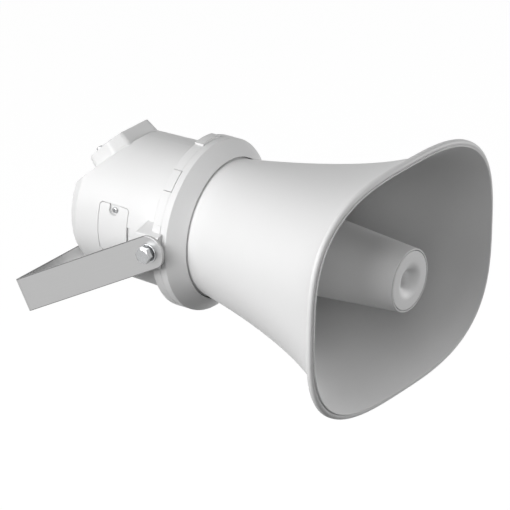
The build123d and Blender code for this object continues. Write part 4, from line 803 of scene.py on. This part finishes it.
def panScrew(name, head, sizes):
    # domed pan head with a cross recess
    radius, height, shank = head["headRadius"], head["headHeight"], head["shank"] / 2
    body = partFromBmesh(name, ringRows([
        (-head["length"], shank - sizes["tipInset"]), (-head["length"] + sizes["tipLength"], shank),
        (0.0, shank), (0.0, radius),
        *((height * high, radius * wide) for high, wide in sizes["dome"])], sizes["segments"]))
    half, bar, deep = sizes["crossLength"] / 2, sizes["crossWidth"] / 2, sizes["crossDepth"]
    corners = [(half, -bar), (half, bar), (bar, bar), (bar, half), (-bar, half), (-bar, bar), (-half, bar),
               (-half, -bar), (-bar, -bar), (-bar, -half), (bar, -half), (bar, -bar)]
    floorX, floorY = sizes["crossFloor"]
    brimShare = sizes["crossBrim"]
    work = bmesh.new()
    floor = [work.verts.new(Vector((x * floorX, y * floorY, height - deep)) * mm) for x, y in corners]
    brim = [work.verts.new(Vector((x * brimShare, y * brimShare, height + sizes["crossClear"])) * mm)
            for x, y in corners]
    for index in range(len(corners)):
        following = (index + 1) % len(corners)
        work.faces.new((floor[index], floor[following], brim[following], brim[index]))
    work.faces.new(list(reversed(floor)))
    work.faces.new(brim)
    cutter = partFromBmesh("crossCutter", work)
    cut = body.modifiers.new("cross", "BOOLEAN")
    cut.object = cutter
    cut.operation = "DIFFERENCE"
    cut.solver = "EXACT"
    bakeModifiers(body)
    bpy.data.objects.remove(cutter)
    return body


def coverScrews(sizes):
    slope = -math.radians(stance["facetSlope"])
    down, top = sizes["lidScrewDown"], sizes["lidTop"]
    lidPlaces = [(facetPoint(side * sizes["lidScrewX"], down, top), (slope, 0.0, 0.0)) for side in (-1, 1)]
    sidePlaces = [(hornPoint(*sizes["coverScrew"]), (0.0, -math.pi / 2, 0.0))]
    for name, node, head, places in (("lidScrews", "lid_screws", "lid", lidPlaces),
                                     ("sideCoverScrew", "side_cover_screw", "cover", sidePlaces)):
        screw = panScrew(head + "Screw", sizes[head], sizes)
        piece = partOnPoints(name, screw, places, finishes["fastener_steel"])
        settle(piece, "horn", "fastener_steel", node)


coverScrews(screwSizes)
print("screws set")

glandSizes = {
    "drop": 34.0, "rear": -113.6, "front": -106.6, "radius": 10.0,
    "ribs": 14, "ribRadius": 0.7, "ribTip": 0.5, "ribTipShare": 0.3, "ribSegments": 12,
}


def glandRibs(sizes):
    # grip ribs round the gland's cap, tapered at both ends
    length = sizes["front"] - sizes["rear"]
    radius, tip = sizes["ribRadius"], sizes["ribTip"]
    thin = radius * sizes["ribTipShare"]
    rib = partFromBmesh("rib", ringRows(
        [(0.0, thin), (tip, radius), (length - tip, radius), (length, thin)], sizes["ribSegments"]))
    places = []
    for index in range(sizes["ribs"]):
        angle = 2 * math.pi * index / sizes["ribs"]
        x, up = sizes["radius"] * math.cos(angle), sizes["radius"] * math.sin(angle) - sizes["drop"]
        places.append((hornPoint(x, sizes["rear"], up), (math.pi / 2, 0.0, 0.0)))
    settle(partOnPoints("glandRibs", rib, places, finishes["abs_grey"]), "horn", "abs_grey")


glandRibs(glandSizes)
print("gland ribs set")

stage = {
    "floorDrop": 0.42, "floorSize": 6.0,  # metres
    "floorGlow": 0.97,  # white to the camera and in reflections, and no light on the horn
    "floorColour": "#4C4C4C",  # dark, so that the floor throws little light back, and keeps the shadow
    "worldStrength": 0.0,
}
white = (1.0, 1.0, 1.0, 1.0)


def seenDirectly(tree):
    # 1 for rays of the camera, of glossy surfaces and of clear ones, 0 for the light itself
    rays = addNode(tree, "ShaderNodeLightPath")
    seen = addNode(tree, "ShaderNodeMath", {
        0: rays.outputs["Is Camera Ray"], 1: rays.outputs["Is Glossy Ray"]}, operation="MAXIMUM")
    return addNode(tree, "ShaderNodeMath", {
        0: seen.outputs[0], 1: rays.outputs["Is Transmission Ray"]}, operation="MAXIMUM").outputs[0]


def paperFloor(values):
    material, tree = newMaterial("paperFloor")
    diffuse = addNode(tree, "ShaderNodeBsdfDiffuse", {"Color": srgb(values["floorColour"])})
    strength = addNode(tree, "ShaderNodeMath", {
        0: seenDirectly(tree), 1: values["floorGlow"]}, operation="MULTIPLY")
    glow = addNode(tree, "ShaderNodeEmission", {"Color": white, "Strength": strength.outputs[0]})
    both = addNode(tree, "ShaderNodeAddShader", {0: diffuse.outputs[0], 1: glow.outputs[0]})
    addNode(tree, "ShaderNodeOutputMaterial", {"Surface": both.outputs[0]})
    shape = bpy.data.meshes.new("floor")
    size, low = values["floorSize"], -values["floorDrop"]
    corners = [(-size, -size, low), (size, -size, low), (size, size, low), (-size, size, low)]
    shape.from_pydata(corners, [], [(0, 1, 2, 3)])
    shape.materials.append(material)
    linkPiece("floor", shape)


def studioSky(values):
    world = bpy.data.worlds.new("studio")
    bpy.context.scene.world = world
    world.use_nodes = True
    tree = world.node_tree
    tree.nodes.clear()
    strength = addNode(tree, "ShaderNodeMapRange", {
        "Value": seenDirectly(tree), "To Min": values["worldStrength"], "To Max": 1.0})
    sky = addNode(tree, "ShaderNodeBackground", {"Color": white, "Strength": strength.outputs[0]})
    addNode(tree, "ShaderNodeOutputWorld", {"Surface": sky.outputs[0]})


# azimuth (0 is in front of the mouth) and height in degrees, distance and size in metres, power in watts
lamps = {
    "rearLeftBox": {"azimuth": -117, "height": 23, "distance": 2.2, "size": 1.4, "watts": 35.5},
    "leftBox": {"azimuth": -94, "height": 26, "distance": 2.2, "size": 1.5, "watts": 20.0},
    "highBox": {"azimuth": -72, "height": 60, "distance": 2.2, "size": 1.1, "watts": 7.5},
    "nearCameraBox": {"azimuth": -50, "height": 21, "distance": 2.2, "size": 1.1, "watts": 6.5},
    "rightBox": {"azimuth": 53, "height": 6, "distance": 2.2, "size": 1.3, "watts": 25.5},
}
lampTarget = (0, 60, 0)  # millimetres from the tilt axis: the middle of the horn


def addLamp(name, values):
    # a square soft box that faces the horn
    azimuth, height = math.radians(values["azimuth"]), math.radians(values["height"])
    outward = Vector((
        math.sin(azimuth) * math.cos(height), -math.cos(azimuth) * math.cos(height), math.sin(height)))
    lamp = bpy.data.lights.new(name, "AREA")
    lamp.size = values["size"]
    lamp.energy = values["watts"]
    holder = linkPiece(name, lamp)
    holder.location = hornPoint(*lampTarget) + outward * values["distance"]
    holder.rotation_euler = (-outward).to_track_quat("-Z", "Y").to_euler()


paperFloor(stage)
studioSky(stage)
for lampName, lampValues in lamps.items():
    addLamp(lampName, lampValues)
print("stage and lamps made:", len(lamps))

# degrees, and millimetres from the middle of the mouth
camera = {
    "azimuth": -55.417, "height": 24.073, "roll": 0.775,
    "distance": 3713.0, "right": -126.104, "up": 20.564, "mouthForward": 205.5,
    "lens": 312.98, "sensorWidth": 36.0, "farthest": 50.0,
}


def photoCamera(values):
    azimuth, height, roll = (math.radians(values[key]) for key in ("azimuth", "height", "roll"))
    right = Vector((math.cos(azimuth), math.sin(azimuth), 0))
    look = Vector((
        -math.sin(azimuth) * math.cos(height), math.cos(azimuth) * math.cos(height), -math.sin(height)))
    up = right.cross(look)
    rolledRight = right * math.cos(roll) + up * math.sin(roll)
    rolledUp = up * math.cos(roll) - right * math.sin(roll)
    lens = bpy.data.cameras.new("photoCamera")
    lens.lens = values["lens"]
    lens.sensor_width = values["sensorWidth"]
    lens.sensor_fit = "HORIZONTAL"
    lens.clip_end = values["farthest"]
    view = linkPiece("photoCamera", lens)
    offset = rolledRight * values["right"] + rolledUp * values["up"] - look * values["distance"]
    axes = Matrix((rolledRight, rolledUp, -look)).transposed().to_4x4()
    view.matrix_world = Matrix.Translation(hornPoint(0, values["mouthForward"], 0) + offset * mm) @ axes
    bpy.context.scene.camera = view


photoCamera(camera)
bpy.context.scene.view_settings.view_transform = "Standard"
print("camera made")
